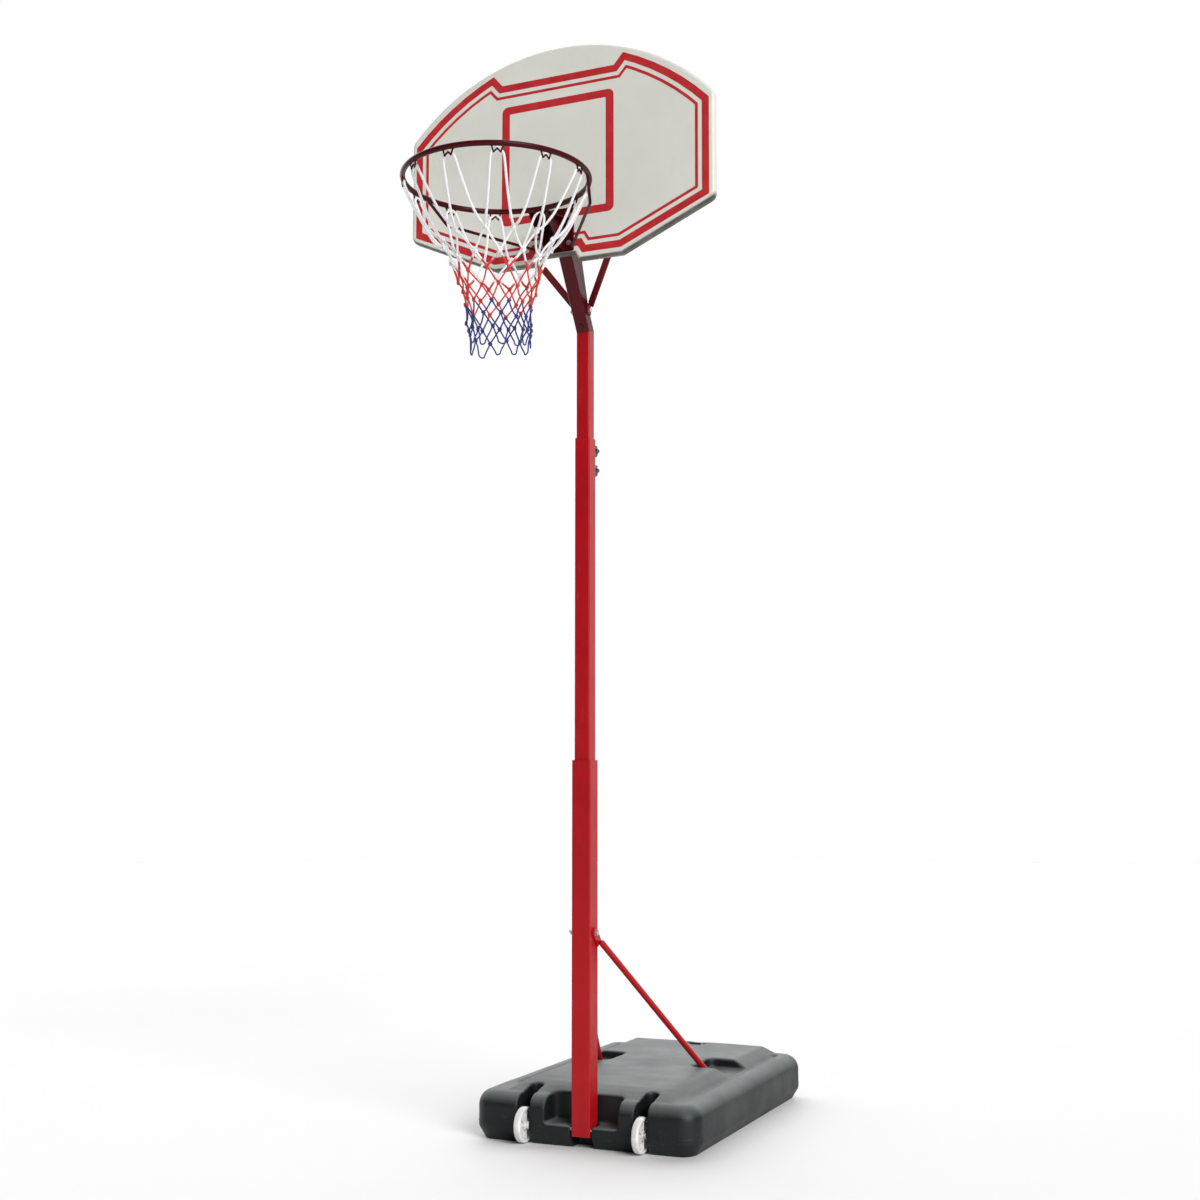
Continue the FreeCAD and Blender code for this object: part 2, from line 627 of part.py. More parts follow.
def board_upright():
    """Folded channel on the board's back that carries the rim bolts."""
    half, z0, z1, thick = UPRIGHT
    plate = box(-half, half, BOARD_BACK, BOARD_BACK + thick, z0, z1)
    for x0 in (-half, half - thick):
        flange = box(x0, x0 + thick, BOARD_BACK, BOARD_BACK + 16, z0, z1)
        plate = plate.fuse(flange)
    for x, z in RIM_BOLTS:
        plate = plate.cut(rod(V(x, BOARD_BACK - 5, z), V(x, BOARD_BACK + 20, z), BOLT_R + 0.2))
    return plate.removeSplitter()


def strut_arm_centre():
    rise = BOARD_STRUT_FOOT_Z - ELBOW_Z
    return V(0, POLE_Y - rise * math.tan(LEAN) + 9, BOARD_STRUT_FOOT_Z)


def board_strut():
    """Flat bar from the arm's side out and up to the board's back, with a bent tab at each end."""
    centre = strut_arm_centre()
    half = TOP_SIZE / 2
    thick = 4.0
    side = half + TOUCH
    board = BOARD_BACK + TOUCH
    high = V(BOARD_STRUT_X, board + thick / 2, BOARD_STRUT_Z)
    start = centre + V(side + thick / 2 + 2, 8, 15)
    run = high + V(-6, 2, -12) - start
    bar = Part.makeBox(BAR_W, thick, run.Length, V(-BAR_W / 2, -thick / 2, 0))
    bar.Placement = FreeCAD.Placement(start, bar_turn(run))
    low_tab = box(side, side + thick, centre.y - 11, centre.y + 13, centre.z - 11, centre.z + 18)
    high_tab = box(high.x - 14, high.x + 14, board, board + thick, high.z - 16, high.z + 14)
    form = joined([bar, low_tab, high_tab])
    form = form.cut(box(-60, side, centre.y - 60, centre.y + 60, centre.z - 60, centre.z + 60))
    form = form.cut(box(0, 400, board - 30, board, high.z - 60, high.z + 60))
    form = form.cut(rod(centre, centre + V(60, 0, 0), BOLT_R + 0.2))
    return form.cut(rod(high - V(0, 20, 0), high + V(0, 20, 0), 3.2))


def bar_turn(run):
    """Turn a bar that stands on +Z along `run`, its broad side as near to facing Y as it can be."""
    direction = V(run).normalize()
    broad = direction.cross(Y_AXIS).normalize()
    thin = direction.cross(broad)
    return FreeCAD.Rotation(FreeCAD.Matrix(broad.x, thin.x, direction.x, 0,
                                           broad.y, thin.y, direction.y, 0,
                                           broad.z, thin.z, direction.z, 0,
                                           0, 0, 0, 1))


def strut_arm_bolt():
    centre = strut_arm_centre()
    reach = V(TOP_SIZE / 2 + 4.1, 0, 0)
    return hex_bolt(centre + reach, centre - reach - V(9, 0, 0), BOLT_R, 13, 5.3)


def strut_arm_nut():
    start = strut_arm_centre() - V(TOP_SIZE / 2 + 4.1, 0, 0)
    return hex_nut(start, start - V(6.5, 0, 0), BOLT_R, 13)


def strut_board_bolts():
    bolts = []
    for side in (-1, 1):
        x = side * BOARD_STRUT_X
        head = V(x, BOARD_BACK + 4.1, BOARD_STRUT_Z)
        bolts.append(hex_bolt(head, V(x, BOARD_BACK - 18, BOARD_STRUT_Z), 3.0, 10, 4.2))
    return Part.makeCompound(bolts)


# ---- backboard ------------------------------------------------------------------------
def board_outline(inset, y):
    """Fan-shaped outline as a wire in the plane y, moved inwards by `inset`."""
    half = BOARD_W / 2
    slope = (BOARD_CORNER_LOW - BOARD_BOTTOM) / (half - BOARD_FLAT_HALF)
    angle = math.atan(slope)
    left = half - inset
    bottom = BOARD_BOTTOM + inset
    low = BOARD_CORNER_LOW + inset / math.cos(angle) - inset * slope
    flat = BOARD_FLAT_HALF - inset * (1 / math.sin(angle) - 1 / math.tan(angle))
    rise = BOARD_APEX - BOARD_CORNER_HIGH
    radius = (half ** 2 + rise ** 2) / (2 * rise)
    centre = BOARD_APEX - radius
    radius -= inset
    high = centre + math.sqrt(radius ** 2 - left ** 2)
    step = BOARD_STEP_HALF + inset
    right_half = [(step, bottom + BOARD_STEP), (step + 12, bottom), (flat, bottom), (left, low),
                  (left, high)]
    points = [(-x, z) for x, z in reversed(right_half)] + right_half
    corners = [V(x, y, z) for x, z in points]
    edges = [Part.LineSegment(a, b).toShape() for a, b in zip(corners, corners[1:])]
    edges.append(Part.Arc(corners[-1], V(0, y, centre + radius), corners[0]).toShape())
    return Part.Wire(edges)


def along_y(shape, longer_than):
    return [e for e in shape.Edges if e.BoundBox.YLength > longer_than and e.BoundBox.XLength < 0.01]


def board_form(inset):
    face = Part.Face(board_outline(inset, BOARD_FRONT + inset))
    form = face.extrude(V(0, BOARD_T - 2 * inset, 0))
    side = BOARD_W / 2 - inset
    corners = [e for e in along_y(form, 5) if abs(abs(e.BoundBox.XMax) - side) < 0.01]
    form = form.makeFillet(BOARD_CORNER_R - inset, corners)
    flats = [e for e in form.Edges if e.BoundBox.YLength < 0.01]
    return form.makeFillet(BOARD_EDGE_R - inset, flats)


def backboard():
    """Blow-moulded shell: kissed-off columns round the bolts and a blow-pin hole at the bottom."""
    hollow = board_form(BOARD_SKIN)
    front = BOARD_FRONT - 5
    back = BOARD_BACK + 5
    for x, z in RIM_BOLTS:
        hollow = hollow.cut(rod(V(x, front, z), V(x, back, z), 11))
    strut_bolts = [(side * BOARD_STRUT_X, BOARD_STRUT_Z) for side in (-1, 1)]
    for x, z in strut_bolts:
        hollow = hollow.cut(rod(V(x, front, z), V(x, back, z), 10))
    board = board_form(0).cut(hollow)
    for x, z in RIM_BOLTS:
        board = board.cut(rod(V(x, front, z), V(x, back, z), BOLT_R + 0.2))
    for x, z in strut_bolts:
        board = board.cut(rod(V(x, BOARD_BACK - 19, z), V(x, back, z), SCREW_BORE_R))
    middle = BOARD_FRONT + BOARD_T / 2
    return board.cut(rod(V(120, middle, BOARD_BOTTOM - 5), V(120, middle, BOARD_BOTTOM + 12), 3))


# ---- rim ------------------------------------------------------------------------------
def rim_ring():
    return Part.makeTorus(RING_R, RING_ROD / 2, V(0, RING_Y, RING_Z))


def rim_bracket():
    """Plate on the board, a tapering shelf that reaches the ring and two flanges under the shelf."""
    half, z0, z1, thick = RIM_PLATE
    back = BOARD_FRONT - TOUCH
    plate = box(-half, half, back - thick, back, z0, z1)
    plate = plate.makeFillet(6, [e for e in along_y(plate, thick - 1) if e.BoundBox.ZLength < 0.01])
    reach = RING_Y + RING_R
    corners = [V(-RIM_NECK, reach, RING_Z), V(RIM_NECK, reach, RING_Z), V(half, back, RING_Z),
               V(-half, back, RING_Z)]
    shelf = Part.Face(Part.makePolygon(corners + corners[:1])).extrude(V(0, 0, -4))
    flanges = []
    for x0 in (-RIM_NECK, RIM_NECK - thick):
        points = [(back - POLE_Y, RING_Z - 2), (reach - POLE_Y + 3, RING_Z - 2),
                  (reach - POLE_Y + 3, RING_Z - 16), (back - POLE_Y - 28, z0 + 5), (back - POLE_Y, z0 + 5)]
        flanges.append(side_profile(points, x0, x0 + thick))
    form = joined([plate, shelf] + flanges)
    for x, z in RIM_BOLTS:
        form = form.cut(rod(V(x, back - 12, z), V(x, back + 5, z), BOLT_R + 0.2))
    return largest_solid(form.cut(rim_ring()))


def rim_brace():
    """Rod from under the ring's side, bent back to the lower corner of the bracket's plate."""
    half, z0, _, thick = RIM_PLATE
    start = V(RING_R * math.cos(BRACE_TURN), RING_Y - RING_R * math.sin(BRACE_TURN), RING_Z)
    across, ahead, below = BRACE_BEND
    bend = V(across, POLE_Y - ahead, RING_Z - below)
    plate_face = BOARD_FRONT - TOUCH - thick
    toe = V(half - 5, plate_face, z0 + 9)
    beyond = toe + (toe - bend).normalize() * 20
    form = bent_rod([start, bend, beyond], BRACE_R).cut(rim_ring())
    return largest_solid(form.cut(box(-half, half + 60, plate_face, plate_face + 60, z0 - 60, z0 + 60)))


def net_hooks():
    """Small W-shaped wires welded under the ring, evenly spaced."""
    ring = rim_ring()
    bracket = rim_bracket()
    low = RING_Z - RING_ROD / 2
    hooks = []
    for k in range(HOOKS):
        hook = bent_rod([V(RING_R, y, low + rise) for y, rise in HOOK_OUTLINE], HOOK_WIRE_R)
        hook.rotate(V(0, 0, 0), Z_AXIS, HOOK_TURN + 360.0 / HOOKS * k)
        hook.translate(V(0, RING_Y, 0))
        hooks.append(largest_solid(hook.cut(ring).cut(bracket)))
    return Part.makeCompound(hooks)


def rim_bolts():
    face = BOARD_FRONT - RIM_PLATE[3] - TOUCH
    return Part.makeCompound([hex_bolt(V(x, face, z), V(x, BOARD_BACK + 16, z), BOLT_R, 13, 5.3)
                              for x, z in RIM_BOLTS])


def rim_nut_washers():
    back = upright_back()
    return Part.makeCompound([ring_of(BOLT_R + 0.1, 8, V(x, back, z), V(x, back + WASHER_T, z))
                              for x, z in RIM_BOLTS])


def rim_nuts():
    back = upright_back() + WASHER_T
    return Part.makeCompound([hex_nut(V(x, back, z), V(x, back + 6.5, z), BOLT_R, 13) for x, z in RIM_BOLTS])


def net():
    """Open funnel that holds the place of the knotted net."""
    outer = [V(r + NET_T / 2, 0, -d) for d, r in NET_PROFILE]
    inner = [V(r - NET_T / 2, 0, -d) for d, r in reversed(NET_PROFILE)]
    wall = Part.Face(Part.makePolygon(outer + inner + outer[:1]))
    form = wall.revolve(V(0, 0, 0), Z_AXIS, 360)
    form.translate(V(0, RING_Y, RING_Z))
    return form


# ---- the pieces -----------------------------------------------------------------------
strut = base_strut()
board_bar = board_strut()
brace = rim_brace()
upper_z, lower_z = KNOB_HEIGHTS
PIECES = {
    "base_tank": base_tank(),
    "filler_cap": filler_cap(),
    "cap_gasket": cap_gasket(),
    "wheel_axle": wheel_axle(),
    "axle_push_nuts": axle_push_nuts(),
    "wheel_left": wheel(-1),
    "wheel_right": wheel(1),
    "lower_tube": lower_tube(),
    "lower_tube_bush": lower_tube_bush(),
    "mid_tube": mid_tube(),
    "mid_tube_screws": mid_tube_screws(),
    "mid_tube_bush": mid_tube_bush(),
    "clamp_weld_nuts": clamp_weld_nuts(),
    "clamp_knob_upper": clamp_knob(upper_z),
    "clamp_stud_upper": clamp_stud(upper_z),
    "knob_washer_upper": knob_washer(upper_z),
    "clamp_knob_lower": clamp_knob(lower_z),
    "clamp_stud_lower": clamp_stud(lower_z),
    "knob_washer_lower": knob_washer(lower_z),
    "base_strut_right": strut,
    "base_strut_left": mirror_x(strut),
    "strut_pole_bolt": strut_pole_bolt(),
    "strut_pole_washers": strut_pole_washers(),
    "strut_pole_nut": strut_pole_nut(),
    "strut_foot_screws": strut_foot_screws(),
    "strut_foot_washers": strut_foot_washers(),
    "top_tube": top_tube(),
    "top_tube_glide": top_tube_glide(),
    "elbow_spigot": elbow_spigot(),
    "elbow_arm": elbow_arm(),
    "elbow_bolts": elbow_bolts(),
    "arm_gussets": arm_gussets(),
    "board_upright": board_upright(),
    "board_strut_right": board_bar,
    "board_strut_left": mirror_x(board_bar),
    "strut_arm_bolt": strut_arm_bolt(),
    "strut_arm_nut": strut_arm_nut(),
    "strut_board_bolts": strut_board_bolts(),
    "backboard": backboard(),
    "rim_ring": rim_ring(),
    "rim_bracket": rim_bracket(),
    "rim_brace_right": brace,
    "rim_brace_left": mirror_x(brace),
    "net_hooks": net_hooks(),
    "rim_bolts": rim_bolts(),
    "rim_nut_washers": rim_nut_washers(),
    "rim_nuts": rim_nuts(),
    "net": net(),
}

os.makedirs("parts", exist_ok=True)
for name, shape in PIECES.items():
    shape.exportStep("parts/" + name + ".step")
    size = shape.BoundBox
    print(f"{name:22s} solids {len(shape.Solids)} valid {shape.isValid()} "
          f"volume {shape.Volume / 1000:9.2f} cm3 z {size.ZMin:.1f} to {size.ZMax:.1f}")
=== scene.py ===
"""Looks of the portable basketball hoop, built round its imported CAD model. Metres, +Z up, floor at z = 0.

CAD nodes whose shape is right keep it and get a material. The tank is given its softer blow-moulded
skin, the backboard its printed lines, the rim its knotted net, and the steel joints their weld beads.
"""

import json
import math
import random

import bmesh
import bpy
from mathutils import Matrix, Vector, noise
from mathutils.bvhtree import BVHTree


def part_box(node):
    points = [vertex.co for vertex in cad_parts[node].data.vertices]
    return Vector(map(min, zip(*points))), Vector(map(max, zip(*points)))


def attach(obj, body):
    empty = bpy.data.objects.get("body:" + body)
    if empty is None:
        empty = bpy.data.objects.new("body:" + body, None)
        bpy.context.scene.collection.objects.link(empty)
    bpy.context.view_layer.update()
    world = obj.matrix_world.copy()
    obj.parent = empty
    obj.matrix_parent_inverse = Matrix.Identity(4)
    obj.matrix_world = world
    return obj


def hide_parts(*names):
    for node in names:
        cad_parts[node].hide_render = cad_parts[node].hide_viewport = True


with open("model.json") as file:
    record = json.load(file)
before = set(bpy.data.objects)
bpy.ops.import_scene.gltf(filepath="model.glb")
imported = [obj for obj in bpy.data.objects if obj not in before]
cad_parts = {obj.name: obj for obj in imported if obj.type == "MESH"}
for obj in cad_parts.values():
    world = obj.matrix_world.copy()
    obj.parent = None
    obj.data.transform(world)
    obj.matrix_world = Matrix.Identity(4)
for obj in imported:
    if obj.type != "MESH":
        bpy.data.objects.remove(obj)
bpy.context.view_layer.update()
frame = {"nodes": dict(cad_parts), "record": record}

MM = 0.001
UP = Vector((0, 0, 1))


# ---- places taken from the frame --------------------------------------------------------
def middle(node):
    low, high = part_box(node)
    return (low + high) / 2


ring_low, ring_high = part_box("rim_ring")
RING_CENTRE = (ring_low + ring_high) / 2
ROD_R = (ring_high.z - ring_low.z) / 2
RING_R = (ring_high.x - ring_low.x) / 2 - ROD_R
board_low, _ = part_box("backboard")


# ---- materials --------------------------------------------------------------------------
class Finish:
    """A procedural material that is built up node by node, in the object's own coordinates."""

    def __init__(self, name, metallic=0.0, coat=0.0, coat_roughness=0.1, sheen=0.0, specular=0.5):
        self.material = bpy.data.materials.new(name)
        self.material.use_nodes = True
        self.tree = self.material.node_tree
        self.shader = self.tree.nodes["Principled BSDF"]
        uniform = {"Metallic": metallic, "Coat Weight": coat, "Coat Roughness": coat_roughness,
                   "Sheen Weight": sheen, "Specular IOR Level": specular}
        for key, value in uniform.items():
            self.shader.inputs[key].default_value = value
        self.place = self.add("ShaderNodeTexCoord").outputs["Object"]
        self.normal = None

    def add(self, kind, inputs=None, **settings):
        made = self.tree.nodes.new(kind)
        for key, value in settings.items():
            setattr(made, key, value)
        for key, value in (inputs or {}).items():
            self.feed(made.inputs[key], value)
        return made

    def feed(self, socket, value):
        if isinstance(value, bpy.types.NodeSocket):
            self.tree.links.new(value, socket)
        else:
            socket.default_value = value

    def stretched(self, scale):
        mapping = self.add("ShaderNodeMapping", {"Vector": self.place, "Scale": scale})
        return mapping.outputs["Vector"]

    def noise(self, scale, detail=3.0, roughness=0.55, place=None):
        made = self.add("ShaderNodeTexNoise", {"Vector": place or self.place, "Scale": scale,
                                               "Detail": detail, "Roughness": roughness})
        return made.outputs["Fac"]

    def spread(self, value, low, high, out_low=0.0, out_high=1.0):
        """Value's range low..high mapped on out_low..out_high, and held at the ends."""
        made = self.add("ShaderNodeMapRange", {"Value": value, "From Min": low, "From Max": high,
                                               "To Min": out_low, "To Max": out_high})
        return made.outputs["Result"]

    def math(self, operation, a, b=0.0):
        return self.add("ShaderNodeMath", {0: a, 1: b}, operation=operation).outputs["Value"]

    def mix(self, factor, a, b):
        a, b = (c if isinstance(c, bpy.types.NodeSocket) else (*c, 1.0) for c in (a, b))
        made = self.add("ShaderNodeMix", {0: factor, 6: a, 7: b}, data_type="RGBA")
        return made.outputs[2]

    def edges(self, radius, low=0.80, high=0.985):
        """1 on outer and inner edges of that radius, 0 on open faces."""
        round_normal = self.add("ShaderNodeBevel", {"Radius": radius}, samples=4).outputs["Normal"]
        true_normal = self.add("ShaderNodeNewGeometry").outputs["Normal"]
        cosine = self.add("ShaderNodeVectorMath", {0: round_normal, 1: true_normal},
                          operation="DOT_PRODUCT").outputs["Value"]
        return self.spread(cosine, high, low)

    def soften(self, radius):
        """Sharp edges catch the light as if they were rounded off by the radius."""
        self.normal = self.add("ShaderNodeBevel", {"Radius": radius}, samples=4).outputs["Normal"]

    def bump(self, height, depth, strength=1.0):
        inputs = {"Height": height, "Distance": depth, "Strength": strength}
        if self.normal:
            inputs["Normal"] = self.normal
        self.normal = self.add("ShaderNodeBump", inputs).outputs["Normal"]

    def finish(self, colour, roughness):
        self.feed(self.shader.inputs["Base Color"], colour)
        self.feed(self.shader.inputs["Roughness"], roughness)
        if self.normal:
            self.feed(self.shader.inputs["Normal"], self.normal)
        return self.material


def powder_coat(name, colour, dark, primer, gloss, specular=0.22):
    """Baked paint on steel: orange peel, uneven gloss, rubbed edges and a few hairline scratches."""
    f = Finish(name, coat=0.05, coat_roughness=0.15, specular=specular)
    f.soften(0.9 * MM)
    cloud = f.noise(7.0, 4.0)
    base = f.mix(f.spread(cloud, 0.35, 0.7), colour, dark)
    rubbed = f.math("MULTIPLY", f.edges(0.7 * MM), f.spread(f.noise(60.0, 5.0), 0.56, 0.66))
    hairs = f.noise(9.0, 6.0, place=f.stretched((34.0, 34.0, 1.2)))
    hair_mask = f.math("MULTIPLY", f.spread(hairs, 0.665, 0.69), 0.35)
    worn = f.math("MAXIMUM", rubbed, hair_mask)
    coloured = f.mix(f.math("MULTIPLY", worn, 0.6), base, primer)
    f.bump(f.noise(420.0, 2.0), 0.05 * MM, 0.5)
    f.bump(worn, -0.06 * MM, 0.6)
    smear = f.spread(f.noise(18.0, 5.0, place=f.stretched((1.0, 1.0, 0.35))), 0.3, 0.75, gloss, gloss + 0.14)
    return f.finish(coloured, f.math("ADD", smear, f.math("MULTIPLY", worn, 0.25)))


def zinc_plate():
    """Plated fasteners: a cloudy spangle with a few dull stains."""
    f = Finish("zinc_plate", metallic=1.0)
    f.soften(0.4 * MM)
    spangle = f.noise(150.0, 4.0)
    base = f.mix(f.spread(spangle, 0.3, 0.7), (0.52, 0.52, 0.50), (0.72, 0.71, 0.67))
    stain = f.spread(f.noise(45.0, 6.0), 0.6, 0.75, 0.0, 0.5)
    coloured = f.mix(stain, base, (0.30, 0.27, 0.22))
    f.bump(f.noise(700.0, 2.0), 0.03 * MM, 0.6)
    return f.finish(coloured, f.spread(spangle, 0.25, 0.75, 0.28, 0.46))


def moulded_plastic(name, colour, lighter, rough, grain=0.05, soft_edge=0.8):
    """Injection-moulded part: fine texture, uneven gloss and paler rubbed edges."""
    f = Finish(name)
    f.soften(soft_edge * MM)
    cloud = f.noise(28.0, 5.0)
    base = f.mix(f.spread(cloud, 0.35, 0.7), colour, lighter)
    rubbed = f.math("MULTIPLY", f.edges(soft_edge * MM), f.spread(f.noise(170.0, 3.0), 0.42, 0.7))
    coloured = f.mix(f.math("MULTIPLY", rubbed, 0.6), base, [min(1.0, 2.2 * c + 0.03) for c in lighter])
    f.bump(f.noise(900.0, 2.0), grain * MM, 0.7)
    return f.finish(coloured, f.spread(cloud, 0.3, 0.7, rough - 0.06, rough + 0.1))


def tank_plastic():
    """Charcoal blow-moulded polyethylene: pebbled grain, flow marks, scuffs low down, and settled dust with
    a painted sheen that lightens what faces up.
    """
    f = Finish("tank_plastic", specular=0.30)
    flow = f.noise(3.2, 6.0, place=f.stretched((1.0, 0.45, 2.0)))
    base = f.mix(f.spread(flow, 0.3, 0.72), (0.0045, 0.0060, 0.0068), (0.010, 0.0125, 0.0135))
    height = f.add("ShaderNodeSeparateXYZ", {"Vector": f.place}).outputs["Z"]
    facing = f.add("ShaderNodeNewGeometry").outputs["Normal"]
    upward = f.add("ShaderNodeSeparateXYZ", {"Vector": facing}).outputs["Z"]
    patchy = f.spread(f.noise(11.0, 8.0, 0.62), 0.3, 0.75, 0.65, 1.0)
    # dust on what faces up, made paler still as a painted sheen
    dust_and_sheen = f.math("MULTIPLY", f.spread(upward, 0.25, 0.95), patchy)
    lighting_painted_in = f.mix(f.math("MULTIPLY", dust_and_sheen, 0.55), base, (0.240, 0.280, 0.272))
    scratch = f.spread(f.noise(26.0, 7.0, 0.7, place=f.stretched((1.0, 1.0, 6.0))), 0.60, 0.66)
    low = f.spread(height, 0.075, 0.0)
    scuff = f.math("MULTIPLY", scratch, f.math("ADD", f.math("MULTIPLY", low, 0.6), 0.10))
    coloured = f.mix(scuff, lighting_painted_in, (0.075, 0.078, 0.075))
    pebble = f.add("ShaderNodeTexVoronoi", {"Vector": f.place, "Scale": 620.0}).outputs["Distance"]
    f.bump(pebble, 0.14 * MM, 0.55)
    f.bump(f.noise(95.0, 4.0), 0.22 * MM, 0.5)
    f.bump(f.noise(16.0, 3.0), 0.8 * MM, 0.5)
    gloss = f.spread(f.noise(9.0, 5.0), 0.3, 0.7, 0.40, 0.54)
    return f.finish(coloured, f.math("ADD", gloss, f.math("MULTIPLY", dust_and_sheen, 0.16)))


def board_plastic():
    """Ivory polyethylene: faint mottling, ball marks, painted shade on what faces down and an eggshell
    gloss.
    """
    f = Finish("board_plastic", specular=0.45)
    mottle = f.noise(5.5, 6.0)
    base = f.mix(f.spread(mottle, 0.3, 0.7), (0.665, 0.663, 0.597), (0.725, 0.723, 0.662))
    marks = f.spread(f.noise(14.0, 8.0, 0.66), 0.60, 0.78, 0.0, 0.16)
    marked = f.mix(marks, base, (0.42, 0.41, 0.37))
    facing = f.add("ShaderNodeNewGeometry").outputs["Normal"]
    upward = f.add("ShaderNodeSeparateXYZ", {"Vector": facing}).outputs["Z"]
    patchy = f.spread(f.noise(20.0, 6.0), 0.1, 0.7, 0.8, 1.0)
    # painted shade: what faces down is darkened
    underside_shade = f.math("MULTIPLY", f.spread(upward, -0.08, -0.5), patchy)
    underside_shaded = f.mix(underside_shade, marked, (0.050, 0.044, 0.036))
    # painted highlight: the edges are made paler, as if catching the light
    edge = f.math("MULTIPLY", f.edges(4.0 * MM, 0.55, 0.97), 0.18)
    coloured = f.mix(edge, underside_shaded, (0.78, 0.775, 0.71))
    f.bump(f.noise(240.0, 3.0), 0.09 * MM, 0.5)
    f.bump(f.noise(10.0, 2.0), 0.9 * MM, 0.35)
    return f.finish(coloured, f.spread(mottle, 0.3, 0.7, 0.40, 0.52))


def print_ink():
    """Screen-printed red: thinner in places, lightly scuffed by the ball."""
    f = Finish("print_ink", coat=0.15, coat_roughness=0.3)
    cloud = f.noise(24.0, 5.0)
    base = f.mix(f.spread(cloud, 0.3, 0.72), (0.44, 0.012, 0.017), (0.53, 0.024, 0.028))
    pin_holes = f.spread(f.noise(330.0, 2.0), 0.735, 0.77, 0.0, 0.55)
    worn = f.mix(pin_holes, base, (0.66, 0.60, 0.54))
    f.bump(f.noise(260.0, 3.0), 0.05 * MM, 0.5)
    return f.finish(worn, f.spread(cloud, 0.3, 0.7, 0.36, 0.5))


def wheel_plastic():
    """Off-white wheel, darkened grey in its recesses by painted shade, with scuffs round the tread."""
    f = Finish("wheel_plastic")
    f.soften(0.8 * MM)
    cloud = f.noise(32.0, 5.0)
    base = f.mix(f.spread(cloud, 0.3, 0.7), (0.60, 0.60, 0.59), (0.80, 0.80, 0.79))
    open_air = f.add("ShaderNodeAmbientOcclusion", {"Distance": 9 * MM}, samples=4).outputs["AO"]
    # painted shade: darker where the recesses are occluded, in patches
    recess_shade = f.math("MULTIPLY", f.spread(open_air, 0.9, 0.35), f.spread(f.noise(85.0, 5.0), 0.3, 0.65))
    lighting_painted_in = f.mix(f.math("MULTIPLY", recess_shade, 0.8), base, (0.13, 0.12, 0.11))
    scuffs = f.noise(60.0, 5.0, place=f.stretched((0.35, 1.0, 1.0)))
    coloured = f.mix(f.spread(scuffs, 0.6, 0.74, 0.0, 0.5), lighting_painted_in, (0.30, 0.29, 0.27))
    f.bump(scuffs, 0.25 * MM, 0.4)
    return f.finish(coloured, f.spread(cloud, 0.3, 0.7, 0.18, 0.34))


WHITE_DEPTH = 234 * MM      # the net is white down to here, and red down to the next
RED_DEPTH = 332 * MM
LAY = "lay"                 # point attribute: cosine and sine round the cord, and metres along it
BRAID_PLIES = 4
BRAID_PITCH = 9 * MM
DYE_BLEED = 3 * MM          # each way from where two colours meet


def cord_dye():
    """Braided net cord, white at the rim, red below it and blue at the foot."""
    f = Finish("cord_dye", sheen=0.35, specular=0.3)
    height = f.add("ShaderNodeSeparateXYZ", {"Vector": f.place}).outputs["Z"]
    ragged = f.math("MULTIPLY", f.math("SUBTRACT", f.noise(34.0, 3.0), 0.5), 0.05)
    depth = f.math("SUBTRACT", RING_CENTRE.z, f.math("ADD", height, ragged))
    shade = f.spread(f.noise(55.0, 5.0), 0.3, 0.7)
    white = f.mix(shade, (0.88, 0.88, 0.89), (0.96, 0.96, 0.96))
    red = f.mix(shade, (0.58, 0.016, 0.012), (0.78, 0.040, 0.026))
    blue = f.mix(shade, (0.006, 0.017, 0.150), (0.014, 0.038, 0.290))
    upper = f.mix(f.spread(depth, WHITE_DEPTH - DYE_BLEED, WHITE_DEPTH + DYE_BLEED), white, red)
    dyed = f.mix(f.spread(depth, RED_DEPTH - DYE_BLEED, RED_DEPTH + DYE_BLEED), upper, blue)
    lay = f.add("ShaderNodeSeparateXYZ",
                {"Vector": f.add("ShaderNodeAttribute", attribute_name=LAY).outputs["Vector"]})
    turn = f.math("MULTIPLY", f.math("ARCTAN2", lay.outputs["Y"], lay.outputs["X"]), BRAID_PLIES)
    run = f.math("MULTIPLY", lay.outputs["Z"], 2 * math.pi / BRAID_PITCH)
    one_way = f.math("SINE", f.math("ADD", turn, run))
    other_way = f.math("SINE", f.math("SUBTRACT", turn, run))
    braid = f.math("MAXIMUM", one_way, other_way)
    # painted shade: darker in the grooves between the plies
    coloured = f.mix(f.spread(braid, -0.6, 0.5, 0.35, 0.0), dyed, (0.05, 0.03, 0.03))
    f.bump(braid, 0.35 * MM, 0.8)
    f.bump(f.noise(1500.0, 2.0), 0.08 * MM, 0.6)
    return f.finish(coloured, f.spread(shade, 0.0, 1.0, 0.68, 0.82))


def floor_paint():
    """The studio's matt floor, a little cloudy."""
    f = Finish("floor_paint", specular=0.2)
    cloud = f.noise(0.7, 5.0)
    base = f.mix(f.spread(cloud, 0.3, 0.7), (0.80, 0.80, 0.80), (0.83, 0.83, 0.83))
    f.bump(f.noise(60.0, 3.0), 0.3 * MM, 0.2)
    return f.finish(base, f.spread(cloud, 0.3, 0.7, 0.6, 0.7))


